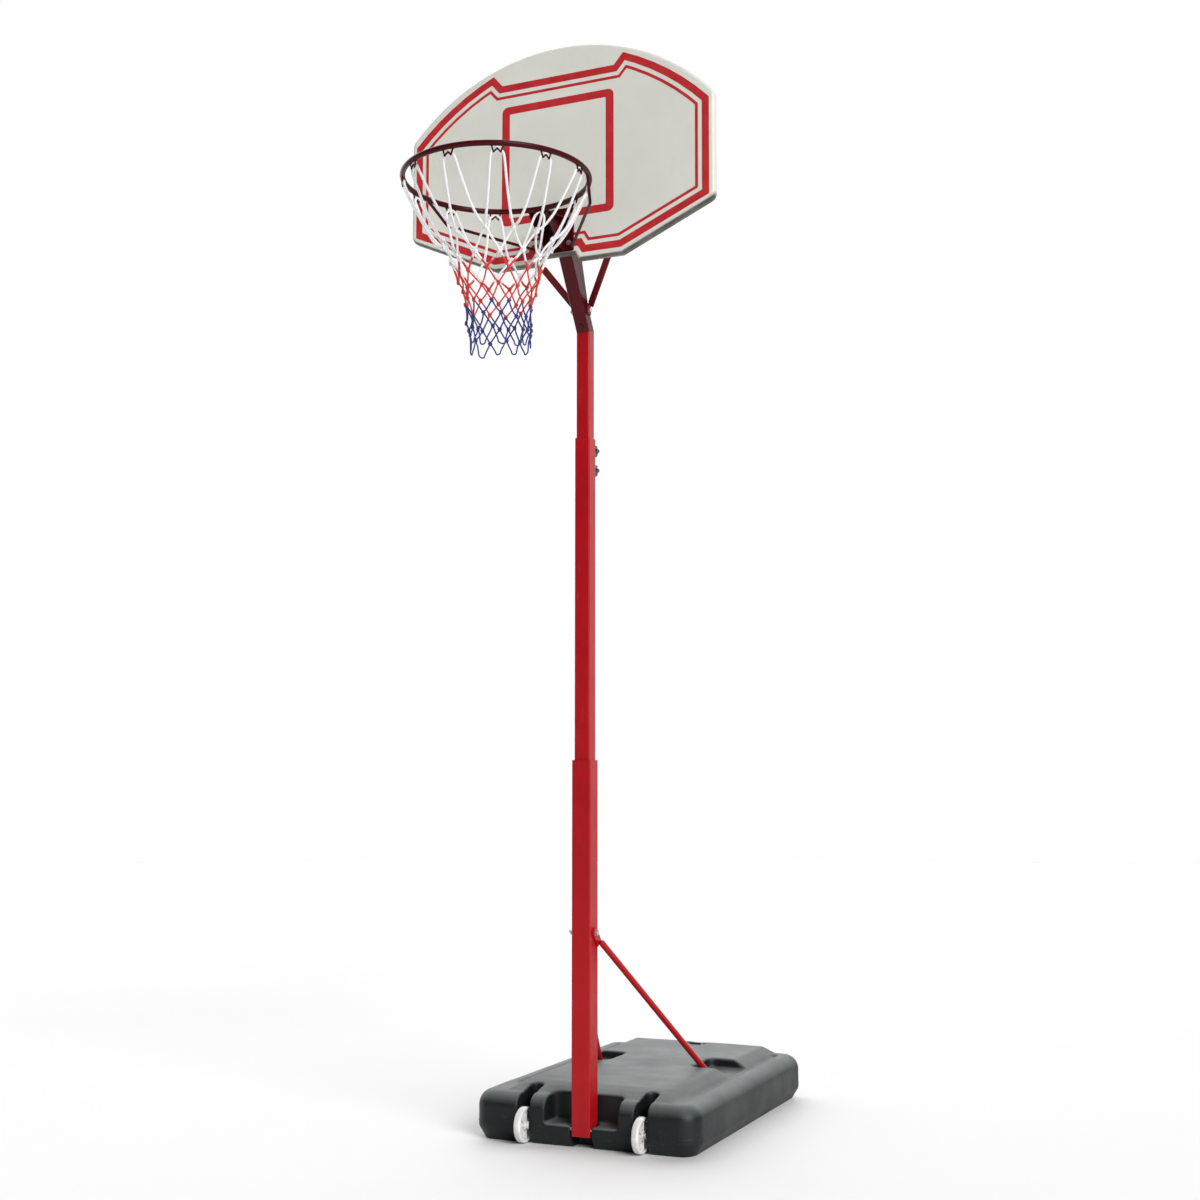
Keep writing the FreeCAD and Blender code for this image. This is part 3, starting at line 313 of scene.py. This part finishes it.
FINISHES = {
    "pole_paint": powder_coat("red_powder_coat", (0.40, 0.004, 0.008), (0.34, 0.003, 0.006),
                              (0.46, 0.12, 0.10), 0.30),
    "arm_paint": powder_coat("maroon_powder_coat", (0.098, 0.004, 0.009), (0.072, 0.003, 0.006),
                             (0.18, 0.06, 0.06), 0.25, 0.15),
    # a lighter copy of the maroon for the struts, as they look lit: painted light
    "strut_paint_as_lit": powder_coat("wine_powder_coat_lit_copy", (0.200, 0.012, 0.016), (0.150, 0.008, 0.011),
                               (0.26, 0.09, 0.08), 0.25, 0.15),
    # a darker copy of the maroon for the rim and its parts, as they look in shade: painted shade
    "rim_paint_as_shaded": powder_coat("maroon_powder_coat_shaded_copy", (0.056, 0.002, 0.004), (0.040, 0.001, 0.003),
                             (0.13, 0.04, 0.04), 0.24, 0.12),
    "zinc": zinc_plate(),
    "tank": tank_plastic(),
    "cap_plastic": moulded_plastic("cap_plastic", (0.016, 0.016, 0.018), (0.028, 0.028, 0.03), 0.42),
    "knob_plastic": moulded_plastic("knob_plastic", (0.012, 0.012, 0.013), (0.022, 0.022, 0.024), 0.38),
    "guide_plastic": moulded_plastic("guide_plastic", (0.020, 0.020, 0.020), (0.035, 0.035, 0.035), 0.5),
    "seal": moulded_plastic("seal_rubber", (0.022, 0.021, 0.020), (0.035, 0.034, 0.032), 0.8, grain=0.1),
    "wheel_plastic": wheel_plastic(),
    "board_plastic": board_plastic(),
    "net_cord": cord_dye(),
    "print": print_ink(),
    "floor": floor_paint(),
}


def dress(piece, finish):
    piece.data.materials.clear()
    piece.data.materials.append(FINISHES[finish])


# nodes given a copy of their slot's paint toned to how they are lit: painted light on the struts, painted
# shade on the rim, its bracket, braces and hooks
LIT_AND_SHADED_COPIES = {"board_strut_left": "strut_paint_as_lit", "board_strut_right": "strut_paint_as_lit", "rim_ring": "rim_paint_as_shaded",
          "rim_bracket": "rim_paint_as_shaded", "rim_brace_left": "rim_paint_as_shaded", "rim_brace_right": "rim_paint_as_shaded",
          "net_hooks": "rim_paint_as_shaded"}


def dress_cad_nodes():
    for part in frame["record"]["subparts"]:
        node = frame["nodes"][part["node"]]
        finish = FINISHES[LIT_AND_SHADED_COPIES.get(part["node"], part["material_slot"])]
        for slot in node.material_slots:
            slot.material = finish
        if not node.material_slots:
            node.data.materials.append(finish)


# ---- mesh helpers -----------------------------------------------------------------------
def new_piece(name, mesh, body, slot, finish=None, smooth=True):
    """A piece that rides on a body, with its material: the finish, or else the one its slot names."""
    if smooth:
        mesh.shade_smooth()
    else:
        mesh.shade_flat()
    piece = bpy.data.objects.new(name, mesh)
    bpy.context.scene.collection.objects.link(piece)
    dress(piece, finish or slot)
    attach(piece, body)
    return piece


def mesh_from(name, points, faces):
    mesh = bpy.data.meshes.new(name)
    mesh.from_pydata([tuple(p) for p in points], [], faces)
    mesh.validate()
    return mesh


def curve_through(points, step):
    """Points at even steps along a smooth (Catmull-Rom) line through the given ones."""
    ends = [2 * points[0] - points[1], *points, 2 * points[-1] - points[-2]]
    line = []
    for a, b, c, d in zip(ends, ends[1:], ends[2:], ends[3:]):
        count = max(2, round((c - b).length / step))
        for k in range(count):
            t = k / count
            line.append(0.5 * (2 * b + (c - a) * t + (2 * a - 5 * b + 4 * c - d) * t ** 2
                               + (3 * b - a - 3 * c + d) * t ** 3))
    line.append(points[-1])
    return line


class Tubes:
    """Round tubes gathered in one mesh, with the lay of the cord kept on each point."""

    def __init__(self, sides):
        self.sides = sides
        self.points = []
        self.faces = []
        self.lay = []

    def add(self, line, radius, closed=False):
        """One tube along the line. radius is a number, or a function of distance along it."""
        start = len(self.points)
        side = UP.cross(line[1] - line[0])
        side = side.normalized() if side.length > 1e-9 else Vector((1, 0, 0))
        along = 0.0
        for k, place in enumerate(line):
            before = line[k - 1] if k or closed else line[0]
            after = line[(k + 1) % len(line)] if k + 1 < len(line) or closed else line[-1]
            tangent = (after - before).normalized()
            side = (side - tangent * side.dot(tangent)).normalized()
            across = tangent.cross(side)
            if k:
                along += (place - line[k - 1]).length
            size = radius(along) if callable(radius) else radius
            for j in range(self.sides):
                turn = 2 * math.pi * j / self.sides
                cosine, sine = math.cos(turn), math.sin(turn)
                self.points.append(place + size * (cosine * side + sine * across))
                self.lay.append((cosine, sine, along))
        rings = len(line)
        for k in range(rings if closed else rings - 1):
            for j in range(self.sides):
                low = start + k * self.sides
                high = start + (k + 1) % rings * self.sides
                following = (j + 1) % self.sides
                self.faces.append((low + j, low + following, high + following, high + j))
        if not closed:
            self.faces.append(tuple(start + j for j in reversed(range(self.sides))))
            self.faces.append(tuple(start + (rings - 1) * self.sides + j for j in range(self.sides)))

    def mesh(self, name):
        made = mesh_from(name, self.points, self.faces)
        attribute = made.attributes.new(LAY, "FLOAT_VECTOR", "POINT")
        attribute.data.foreach_set("vector", [x for place in self.lay for x in place])
        return made


# ---- net --------------------------------------------------------------------------------
NET_LOOPS = 12
HOOK_TURN = math.radians(-2.0)
CORD_R = 2.0 * MM
LOOP_CORD_R = 3.3 * MM      # the white cord of the top loops is thicker
SQUEEZE = 2.2 * MM          # where the loop is pinched between its hook and the rim
CORD_STEP = 3.0 * MM
HOOK_CROWN = 9.5 * MM       # depth of the loop's top over the hook
# how far down, inwards and aside from its crown each side of a top loop bends
SHOULDER = (6 * MM, 5 * MM, 8 * MM)
ELBOW = (19 * MM, 6 * MM, 16 * MM)
LOOP_SAG = (0.09, 0.17)     # as shares of the slack cord's length
SAG_SHAPE = ((0.3, 0.7), (0.55, 1.0), (0.8, 0.7))   # place along the slack cord, share of the sag
SWELL = 0.06                # how fast a squeezed loop thickens again along the cord
# depth under the rim and radius of each row of knots
NET_ROWS = [(d * MM, r * MM) for d, r in ((168, 139), (216, 116), (256, 101), (294, 91), (330, 84),
                                          (365, 79), (398, 77))]
KNOT_TURN_SPREAD = 0.08     # how far a knot strays sideways, as a share of the loops' spacing
KNOT_DEPTH_SPREAD = 3 * MM
KNOT_OUT_SPREAD = 2 * MM
LOOSER_BY_ROW = 0.25        # lower rows stray more
THICK_ROWS = 2              # rows of strands that are still in thick cord
THICK_CORD_R = LOOP_CORD_R * 0.85
TAIL_CORD_R = CORD_R * 0.95
KNOT_STEPS = 30
KNOT_SIZE = 0.66            # as a share of the cord's radius
KNOT_TIP = 0.6              # the most a knot is tipped either way, in radians
STRAND_SAG = 0.12           # the most a strand bows, as a share of its length
BOW_DOWN = 0.35             # how far the bow goes down for each unit inwards
TAIL_DROP = 42 * MM
TAIL_PINCH = 2 * MM         # the tail's sides lean inwards by this
# how the tails differ, in millimetres: length, place out and along the net's edge, half width
TAIL_LENGTH_SPREAD = (-9, 5)
TAIL_OUT_SPREAD = (-6, 7)
TAIL_ASIDE_SPREAD = (-5, 5)
TAIL_HALF = (5, 11)
TAIL_BOWL = ((-1, 1.1), (-0.75, 0.3), (0, 0), (0.75, 0.3), (1, 1.1))    # across and up, in half widths
NET_DRIFT = Vector((0.026, 0.011, 0))      # the net hangs a little askew: sideways for each unit down


def net_place(turn, depth, radius):
    round_it = Vector((radius * math.cos(turn), radius * math.sin(turn), -depth))
    return RING_CENTRE + round_it + NET_DRIFT * depth


def net_knots(draw):
    """Where every knot hangs: each row is half a loop round from the row above, and a little uneven."""
    rows = []
    for row, (depth, radius) in enumerate(NET_ROWS):
        places = []
        for k in range(NET_LOOPS):
            share = k + 0.5 * ((row + 1) % 2) + draw.uniform(-KNOT_TURN_SPREAD, KNOT_TURN_SPREAD)
            turn = HOOK_TURN + 2 * math.pi * share / NET_LOOPS
            loose = 1 + LOOSER_BY_ROW * row
            down = depth + draw.uniform(-1, 1) * KNOT_DEPTH_SPREAD * loose
            out = radius + draw.uniform(-1, 1) * KNOT_OUT_SPREAD * loose
            places.append(net_place(turn, down, out))
        rows.append(places)
    return rows


def outward(place):
    flat = place - RING_CENTRE
    return Vector((flat.x, flat.y, 0)).normalized()


def slack_strand(tubes, a, b, sag, radius):
    """A cord between two knots that bows towards the middle of the net and a little down."""
    line = [a]
    for t in (0.25, 0.5, 0.75):
        bow = 4 * t * (1 - t) * sag
        place = a.lerp(b, t)
        line.append(place - outward(place) * bow - UP * bow * BOW_DOWN)
    tubes.add(curve_through(line + [b], CORD_STEP), radius)


def knot(tubes, place, cord_r, draw):
    """A pulled-tight overhand knot: a small trefoil of the same cord, tipped a little at random."""
    out = outward(place)
    round_way = UP.cross(out)
    tip = Matrix.Rotation(draw.uniform(-KNOT_TIP, KNOT_TIP), 3, out)
    size = KNOT_SIZE * cord_r
    line = []
    for k in range(KNOT_STEPS):
        t = 2 * math.pi * k / KNOT_STEPS
        wide = (2 + math.cos(3 * t)) * size
        local = round_way * wide * math.cos(2 * t) + UP * wide * math.sin(2 * t) * 1.2
        line.append(place + tip @ (local + out * 1.6 * size * math.sin(3 * t)))
    tubes.add(line, cord_r * 0.95, closed=True)


def tail_loop(tubes, a, b, draw):
    """The round-ended loop that hangs between two of the lowest knots."""
    across = (b - a).normalized()
    foot = (a + b) / 2 - UP * (TAIL_DROP + draw.uniform(*TAIL_LENGTH_SPREAD) * MM)
    foot += outward(a) * draw.uniform(*TAIL_OUT_SPREAD) * MM
    foot += across * draw.uniform(*TAIL_ASIDE_SPREAD) * MM
    half = draw.uniform(*TAIL_HALF) * MM
    bowl = [foot + across * half * aside + UP * half * rise for aside, rise in TAIL_BOWL]
    near_a = a.lerp(bowl[0], 0.5) - outward(a) * TAIL_PINCH
    near_b = b.lerp(bowl[-1], 0.5) - outward(b) * TAIL_PINCH
    line = [a, near_a, *bowl, near_b, b]
    tubes.add(curve_through(line, CORD_STEP), TAIL_CORD_R)


def hook_loop(tubes, turn, left, right, draw):
    """A top loop: up beside the hook, over its middle, down the other side and slack to the next knot."""
    crown = net_place(turn, HOOK_CROWN, RING_R)
    out = outward(crown)
    across = UP.cross(out)
    runs = []
    for end, way in ((left, -1), (right, 1)):
        shoulder, elbow = (crown - UP * down - out * inwards + across * aside * way
                           for down, inwards, aside in (SHOULDER, ELBOW))
        sag = draw.uniform(*LOOP_SAG) * (end - elbow).length
        slack = [elbow.lerp(end, t) - UP * sag * bow for t, bow in SAG_SHAPE]
        runs.append([shoulder, elbow, *slack])
    line = [left, *reversed(runs[0]), crown, *runs[1], right]
    path = curve_through(line, CORD_STEP)
    lengths = [(b - a).length for a, b in zip(path, path[1:])]
    top = min(range(len(path)), key=lambda k: (path[k] - crown).length)
    crown_at = sum(lengths[:top])
    tubes.add(path, lambda along: min(LOOP_CORD_R, SQUEEZE + SWELL * abs(along - crown_at)))


def knotted_net():
    draw = random.Random(7)
    tubes = Tubes(8)
    rows = net_knots(draw)
    for k in range(NET_LOOPS):
        hook_loop(tubes, HOOK_TURN + 2 * math.pi * k / NET_LOOPS, rows[0][k - 1], rows[0][k], draw)
    cord_radii = [THICK_CORD_R if row < THICK_ROWS else CORD_R for row in range(len(rows))]
    for row, (above, below) in enumerate(zip(rows, rows[1:])):
        for k in range(NET_LOOPS):
            other = below[(k + 1) % NET_LOOPS] if row % 2 == 0 else below[k - 1]
            for end in (below[k], other):
                sag = (above[k] - end).length * draw.uniform(0.0, STRAND_SAG)
                slack_strand(tubes, above[k], end, sag, cord_radii[row])
    lowest = rows[-1]
    for k in range(NET_LOOPS):
        tail_loop(tubes, lowest[k], lowest[(k + 1) % NET_LOOPS], draw)
    for places, cord_r in zip(rows, cord_radii):
        for place in places:
            knot(tubes, place, cord_r, draw)
    piece = new_piece("knotted_net", tubes.mesh("knotted_net"), "head", "net_cord")
    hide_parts("net")


# ---- printed lines of the backboard -----------------------------------------------------
INK = 0.3 * MM              # how far the print stands off the board
SINK = 0.2 * MM
# in millimetres, as the outlines are
BORDER_WIDTH = 19.5
PINSTRIPE = (30.5, 38.5)    # its two edges, in from the border's outer edge
# half width, lower edge, upper edge and corner radius of the target's outer and inner outlines
TARGET_OUTER = (166.5, 2459, 2797, 17)
TARGET_INNER = (143.5, 2480.5, 2775.5, 3)


def arc_points(a, b, c, count):
    """Points from a to c on the circle through a, b and c, without c."""
    (ax, az), (bx, bz), (cx, cz) = a, b, c
    d = 2 * (ax * (bz - cz) + bx * (cz - az) + cx * (az - bz))
    sa, sb, sc = ax ** 2 + az ** 2, bx ** 2 + bz ** 2, cx ** 2 + cz ** 2
    mx = (sa * (bz - cz) + sb * (cz - az) + sc * (az - bz)) / d
    mz = (sa * (cx - bx) + sb * (ax - cx) + sc * (bx - ax)) / d
    radius = math.hypot(ax - mx, az - mz)
    start = math.atan2(az - mz, ax - mx)
    end = math.atan2(cz - mz, cx - mx)
    return [(mx + radius * math.cos(start + (end - start) * k / count),
             mz + radius * math.sin(start + (end - start) * k / count)) for k in range(count)]


def border_outline():
    """Outer edge of the printed border, anticlockwise seen from the front, in millimetres."""
    right = [(62, 2376), (74, 2356), (187, 2356), (435, 2465)]
    right += arc_points((436, 2726), (317, 2826), (194, 2892), 6)
    right += [(194, 2892), (167, 2861)]
    left = [(-x, z) for x, z in reversed(right)]
    return right + left


def inset(outline, distance):
    """The closed outline moved inwards, corner by corner."""
    moved = []
    for k, (x, z) in enumerate(outline):
        before, after = outline[k - 1], outline[(k + 1) % len(outline)]
        first = Vector((-(z - before[1]), x - before[0])).normalized()
        second = Vector((-(after[1] - z), after[0] - x)).normalized()
        mitre = (first + second).normalized()
        shift = mitre * distance / mitre.dot(first)
        moved.append((x + shift.x, z + shift.y))
    return moved


def rounded_rectangle(half, low, high, radius, steps=6):
    points = []
    for x, z, start in ((half - radius, low + radius, -90), (half - radius, high - radius, 0),
                        (radius - half, high - radius, 90), (radius - half, low + radius, 180)):
        for k in range(steps + 1):
            angle = math.radians(start + 90 * k / steps)
            points.append((x + radius * math.cos(angle), z + radius * math.sin(angle)))
    return points


def printed_band(name, outer, inner):
    """A closed thin band between two outlines with as many points as each other."""
    front, back = board_low.y - INK, board_low.y + SINK
    count = len(outer)
    points = [(x * MM, y, z * MM) for y in (front, back) for line in (outer, inner) for x, z in line]
    faces = []
    for k in range(count):
        n = (k + 1) % count
        faces += [(k, n, count + n, count + k), (2 * count + n, 2 * count + k, 3 * count + k, 3 * count + n),
                  (n, k, 2 * count + k, 2 * count + n), (count + k, count + n, 3 * count + n, 3 * count + k)]
    new_piece(name, mesh_from(name, points, faces), "head", "board_plastic", "print", smooth=False)


def printed_lines():
    border = border_outline()
    printed_band("printed_border", border, inset(border, BORDER_WIDTH))
    printed_band("printed_pinstripe", *(inset(border, edge) for edge in PINSTRIPE))
    printed_band("printed_target", rounded_rectangle(*TARGET_OUTER), rounded_rectangle(*TARGET_INNER))


# ---- tank skin --------------------------------------------------------------------------
VOXEL = 4.5 * MM
SMOOTH_ROUNDS = 4
SEAM_Z = 46 * MM            # parting line of the mould
SEAM_HALF = 1.8 * MM        # half the width of its ridge
SEAM_RISE = 1.1 * MM
WAVES_PER_METRE = 9.0
WAVE_HEIGHT = 0.9 * MM
FLAT_BELOW = 8 * MM         # the foot stays flat on the floor
FOOT_SETTLE = 0.6 * MM
SKIN_CLEAR = 0.05 * MM      # rays start this far off a face
LOOK_RISES = (-1.2, -0.6, 0.0, 0.6, 1.2)            # the rays' directions, in radians
LOOK_TURNS = (0.3, 1.3, 2.4, 3.4, 4.5, 5.5)
GRAZING = 0.05              # cosine under which a ray runs along the face
OPEN_LOOKS = 2              # a face that sees out in fewer directions belongs to the inner skin


def outer_skin(source):
    """The CAD tank's mesh without its inner skin, closed again where the bores were."""
    skin = bmesh.new()
    skin.from_mesh(source.data)
    bmesh.ops.remove_doubles(skin, verts=skin.verts, dist=0.01 * MM)
    bmesh.ops.recalc_face_normals(skin, faces=skin.faces)
    tree = BVHTree.FromBMesh(skin)
    looks = [Vector((math.cos(a) * math.cos(e), math.sin(a) * math.cos(e), math.sin(e)))
             for e in LOOK_RISES for a in LOOK_TURNS]
    inner = []
    for face in skin.faces:
        start = face.calc_center_median() + face.normal * SKIN_CLEAR
        ahead = [look for look in looks if look.dot(face.normal) > GRAZING]
        open_ways = sum(tree.ray_cast(start, look)[0] is None for look in ahead)
        if open_ways < OPEN_LOOKS:
            inner.append(face)
    bmesh.ops.delete(skin, geom=inner, context="FACES")
    bmesh.ops.holes_fill(skin, edges=[e for e in skin.edges if e.is_boundary], sides=0)
    bmesh.ops.triangulate(skin, faces=skin.faces)
    bmesh.ops.recalc_face_normals(skin, faces=skin.faces)
    return skin


def applied(piece):
    """The piece's mesh with its modifiers worked in."""
    graph = bpy.context.evaluated_depsgraph_get()
    made = bpy.data.meshes.new_from_object(piece.evaluated_get(graph))
    piece.modifiers.clear()
    return made


def moulded_tank():
    """Blow-moulded skin: the CAD form with softened corners, slight waviness and a raised parting line."""
    skin = outer_skin(frame["nodes"]["base_tank"])
    mesh = bpy.data.meshes.new("tank_skin_rough")
    skin.to_mesh(mesh)
    skin.free()
    rough = bpy.data.objects.new("tank_skin_rough", mesh)
    bpy.context.scene.collection.objects.link(rough)
    remesh = rough.modifiers.new("voxels", "REMESH")
    remesh.mode = "VOXEL"
    remesh.voxel_size = VOXEL
    smooth = rough.modifiers.new("smooth", "SMOOTH")
    smooth.factor = 0.5
    smooth.iterations = SMOOTH_ROUNDS
    made = applied(rough)
    bpy.data.objects.remove(rough)
    low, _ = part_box("base_tank")
    form = bmesh.new()
    form.from_mesh(made)
    raise_seam(form)
    for point in form.verts:
        wave = noise.noise(point.co * WAVES_PER_METRE) * WAVE_HEIGHT
        if point.co.z > FLAT_BELOW:
            point.co += point.normal * wave
        else:
            point.co.z = max(low.z, point.co.z - FOOT_SETTLE)
    form.to_mesh(made)
    form.free()
    made.name = "tank_skin"
    tank = new_piece("tank_skin", made, "base", "tank")
    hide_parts("base_tank")


def raise_seam(form):
    """The mould's parting line: a fine ridge round the tank."""
    for offset in (-SEAM_HALF, 0.0, SEAM_HALF):
        everything = form.verts[:] + form.edges[:] + form.faces[:]
        bmesh.ops.bisect_plane(form, geom=everything, dist=1e-6,
                               plane_co=(0, 0, SEAM_Z + offset), plane_no=UP)
    form.normal_update()
    for point in form.verts:
        if abs(point.co.z - SEAM_Z) < 1e-5 and abs(point.normal.z) < 0.5:
            point.co += point.normal * SEAM_RISE


# ---- weld beads -------------------------------------------------------------------------
NECK_HALF = 24 * MM         # the bracket where it meets the rim
BEAD_R = 1.9 * MM
BEAD_STEP = 1.2 * MM
RIPPLE = 0.55 * MM          # the puddles are 2 pi of this apart
RIPPLE_RISE = 0.16          # as a share of the bead's radius
HOOK_FOOT = 13 * MM         # from the hook's middle to each of its ends
TACK_HALF = 2.2 * MM
TACK_R = 2.6 * MM
TACK_STEP = 0.9 * MM
GUSSET_FOOT_Z = 2.42        # the lower end of the gussets' welds
NUT_CORNER_R = 8.2 * MM
NUT_FILLET_R = 1.5 * MM
NUT_FILLET_STEPS = 24
NUT_FILLET_SINK = 0.6 * MM


def bead(tubes, line, radius):
    """A run of weld with the ripples of its puddles."""
    path = curve_through(line, BEAD_STEP)
    tubes.add(path, lambda along: radius * (1 + RIPPLE_RISE * math.sin(along / RIPPLE)))


def ring_arc(start, end, radius, height, count=12):
    return [RING_CENTRE + Vector((radius * math.cos(a), radius * math.sin(a), height))
            for a in (start + (end - start) * k / count for k in range(count + 1))]


def rim_welds():
    """Runs of weld along the bracket's shelf and down the front edges of its two flanges."""
    tubes = Tubes(8)
    reach = math.acos(NECK_HALF / RING_R)
    for radius, height, size in ((RING_R + ROD_R * 0.9, 0.3 * MM, 2.2 * MM),
                                 (RING_R + ROD_R * 0.6, -ROD_R * 0.8, 1.8 * MM)):
        bead(tubes, ring_arc(reach - 0.01, math.pi - reach + 0.01, radius, height), size)
    for side in (-1, 1):
        x = side * (NECK_HALF + 0.4 * MM)
        y = RING_CENTRE.y + math.sqrt(RING_R ** 2 - x ** 2)
        bead(tubes, [Vector((x, y + ROD_R * c, RING_CENTRE.z + ROD_R * s))
                     for c, s in ((0.45, -1.0), (0.8, -0.75), (1.08, -0.25), (1.0, 0.2))], BEAD_R)
    new_piece("rim_welds", tubes.mesh("rim_welds"), "head", "arm_paint", "rim_paint_as_shaded")


def hook_welds():
    """Two small tacks where each net hook meets the rim."""
    tubes = Tubes(8)
    for k in range(NET_LOOPS):
        turn = HOOK_TURN + 2 * math.pi * k / NET_LOOPS
        for side in (-1, 1):
            spot = turn + side * HOOK_FOOT / RING_R
            reach = TACK_HALF / RING_R
            line = ring_arc(spot - reach, spot + reach, RING_R, -ROD_R * 0.98, 3)
            tubes.add(curve_through(line, TACK_STEP), TACK_R)
    new_piece("hook_welds", tubes.mesh("hook_welds"), "head", "arm_paint", "rim_paint_as_shaded")


def arm_welds():
    """Runs of weld where the gussets' edges meet the upright."""
    tubes = Tubes(8)
    low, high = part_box("arm_gussets")
    for side in (-1, 1):
        x = side * high.x
        heights = (high.z - 4 * MM, middle("arm_gussets").z + 100 * MM, GUSSET_FOOT_Z)
        bead(tubes, [Vector((x, low.y, z)) for z in heights], BEAD_R)
    new_piece("arm_welds", tubes.mesh("arm_welds"), "head", "arm_paint")


def nut_welds():
    """Fillets round the clamp's nuts on the back of the middle tube."""
    tubes = Tubes(8)
    low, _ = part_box("clamp_weld_nuts")
    for knob in ("clamp_knob_upper", "clamp_knob_lower"):
        centre = middle(knob)
        turns = [2 * math.pi * k / NUT_FILLET_STEPS for k in range(NUT_FILLET_STEPS)]
        centre.y = low.y + NUT_FILLET_SINK
        line = [centre + NUT_CORNER_R * Vector((math.cos(t), 0, math.sin(t))) for t in turns]
        tubes.add(line, NUT_FILLET_R, closed=True)
    new_piece("clamp_nut_welds", tubes.mesh("clamp_nut_welds"), "base", "pole_paint")


# ---- studio -----------------------------------------------------------------------------
CAMERA_PLACE = (1.800, -4.0575, 0.953)
CAMERA_YAW = math.radians(23.75)
CAMERA_PITCH = math.radians(6.43)
CAMERA_LENS = 48.48
CAMERA_SENSOR = 36.0
CAMERA_REACH = 60.0
FLOOR_R = 16.0
FLOOR_RINGS = 8
FLOOR_SIDES = 96
BRIGHT_WAY = (-0.46, 0.81, 0.36)
BRIGHT_EDGES = (0.35, 0.95)     # cosines from that way between which the room goes from dim to bright
DIM = 0.14
BRIGHT = 2.4
BACKDROP = 1.0
KEY_WAY = (0.72, -0.52, 0.46)
KEY_POWER = 3.0
KEY_SPREAD = math.radians(35)


def camera():
    data = bpy.data.cameras.new("camera")
    data.lens = CAMERA_LENS
    data.sensor_width = CAMERA_SENSOR
    data.clip_end = CAMERA_REACH
    view = bpy.data.objects.new("camera", data)
    view.location = CAMERA_PLACE
    view.rotation_euler = (math.pi / 2 + CAMERA_PITCH, 0, CAMERA_YAW)
    bpy.context.scene.collection.objects.link(view)
    bpy.context.scene.camera = view


def floor():
    """A round pale floor, in rings round a middle disc."""
    radii = [FLOOR_R * k / FLOOR_RINGS for k in range(1, FLOOR_RINGS + 1)]
    turns = [2 * math.pi * j / FLOOR_SIDES for j in range(FLOOR_SIDES)]
    points = [(r * math.cos(t), r * math.sin(t), 0.0) for r in radii for t in turns]
    faces = [tuple(range(FLOOR_SIDES))]
    for k in range(FLOOR_RINGS - 1):
        near, far = k * FLOOR_SIDES, (k + 1) * FLOOR_SIDES
        for j in range(FLOOR_SIDES):
            n = (j + 1) % FLOOR_SIDES
            faces.append((near + j, far + j, far + n, near + n))
    mesh = mesh_from("studio_floor", points, faces)
    piece = bpy.data.objects.new("studio_floor", mesh)
    bpy.context.scene.collection.objects.link(piece)
    dress(piece, "floor")


def world_light():
    """White behind the object; on the object itself, a bright room behind and above and a dim one ahead."""
    world = bpy.data.worlds.new("studio")
    world.use_nodes = True
    tree = world.node_tree
    background = tree.nodes["Background"]
    background.inputs["Color"].default_value = (1.0, 1.0, 1.0, 1.0)
    direction = tree.nodes.new("ShaderNodeTexCoord").outputs["Generated"]
    slope = tree.nodes.new("ShaderNodeVectorMath")
    slope.operation = "DOT_PRODUCT"
    slope.inputs[1].default_value = BRIGHT_WAY
    tree.links.new(direction, slope.inputs[0])
    level = tree.nodes.new("ShaderNodeMapRange")
    level.interpolation_type = "SMOOTHSTEP"
    start, end = BRIGHT_EDGES
    for key, value in {"From Min": start, "From Max": end, "To Min": DIM, "To Max": BRIGHT}.items():
        level.inputs[key].default_value = value
    tree.links.new(slope.outputs["Value"], level.inputs["Value"])
    seen = tree.nodes.new("ShaderNodeLightPath").outputs["Is Camera Ray"]
    choice = tree.nodes.new("ShaderNodeMix")
    choice.inputs["B"].default_value = BACKDROP
    tree.links.new(seen, choice.inputs["Factor"])
    tree.links.new(level.outputs["Result"], choice.inputs["A"])
    tree.links.new(choice.outputs["Result"], background.inputs["Strength"])
    bpy.context.scene.world = world


def soft_sun(name, towards, power, spread):
    data = bpy.data.lights.new(name, "SUN")
    data.energy = power
    data.angle = spread
    lamp = bpy.data.objects.new(name, data)
    lamp.rotation_euler = Vector(towards).to_track_quat("Z", "Y").to_euler()
    bpy.context.scene.collection.objects.link(lamp)


def lights():
    world_light()
    soft_sun("key", KEY_WAY, KEY_POWER, KEY_SPREAD)


# ---- the whole scene --------------------------------------------------------------------
dress_cad_nodes()
moulded_tank()
printed_lines()
knotted_net()
rim_welds()
hook_welds()
arm_welds()
nut_welds()
floor()
lights()
camera()
bpy.context.scene.view_settings.view_transform = "Standard"
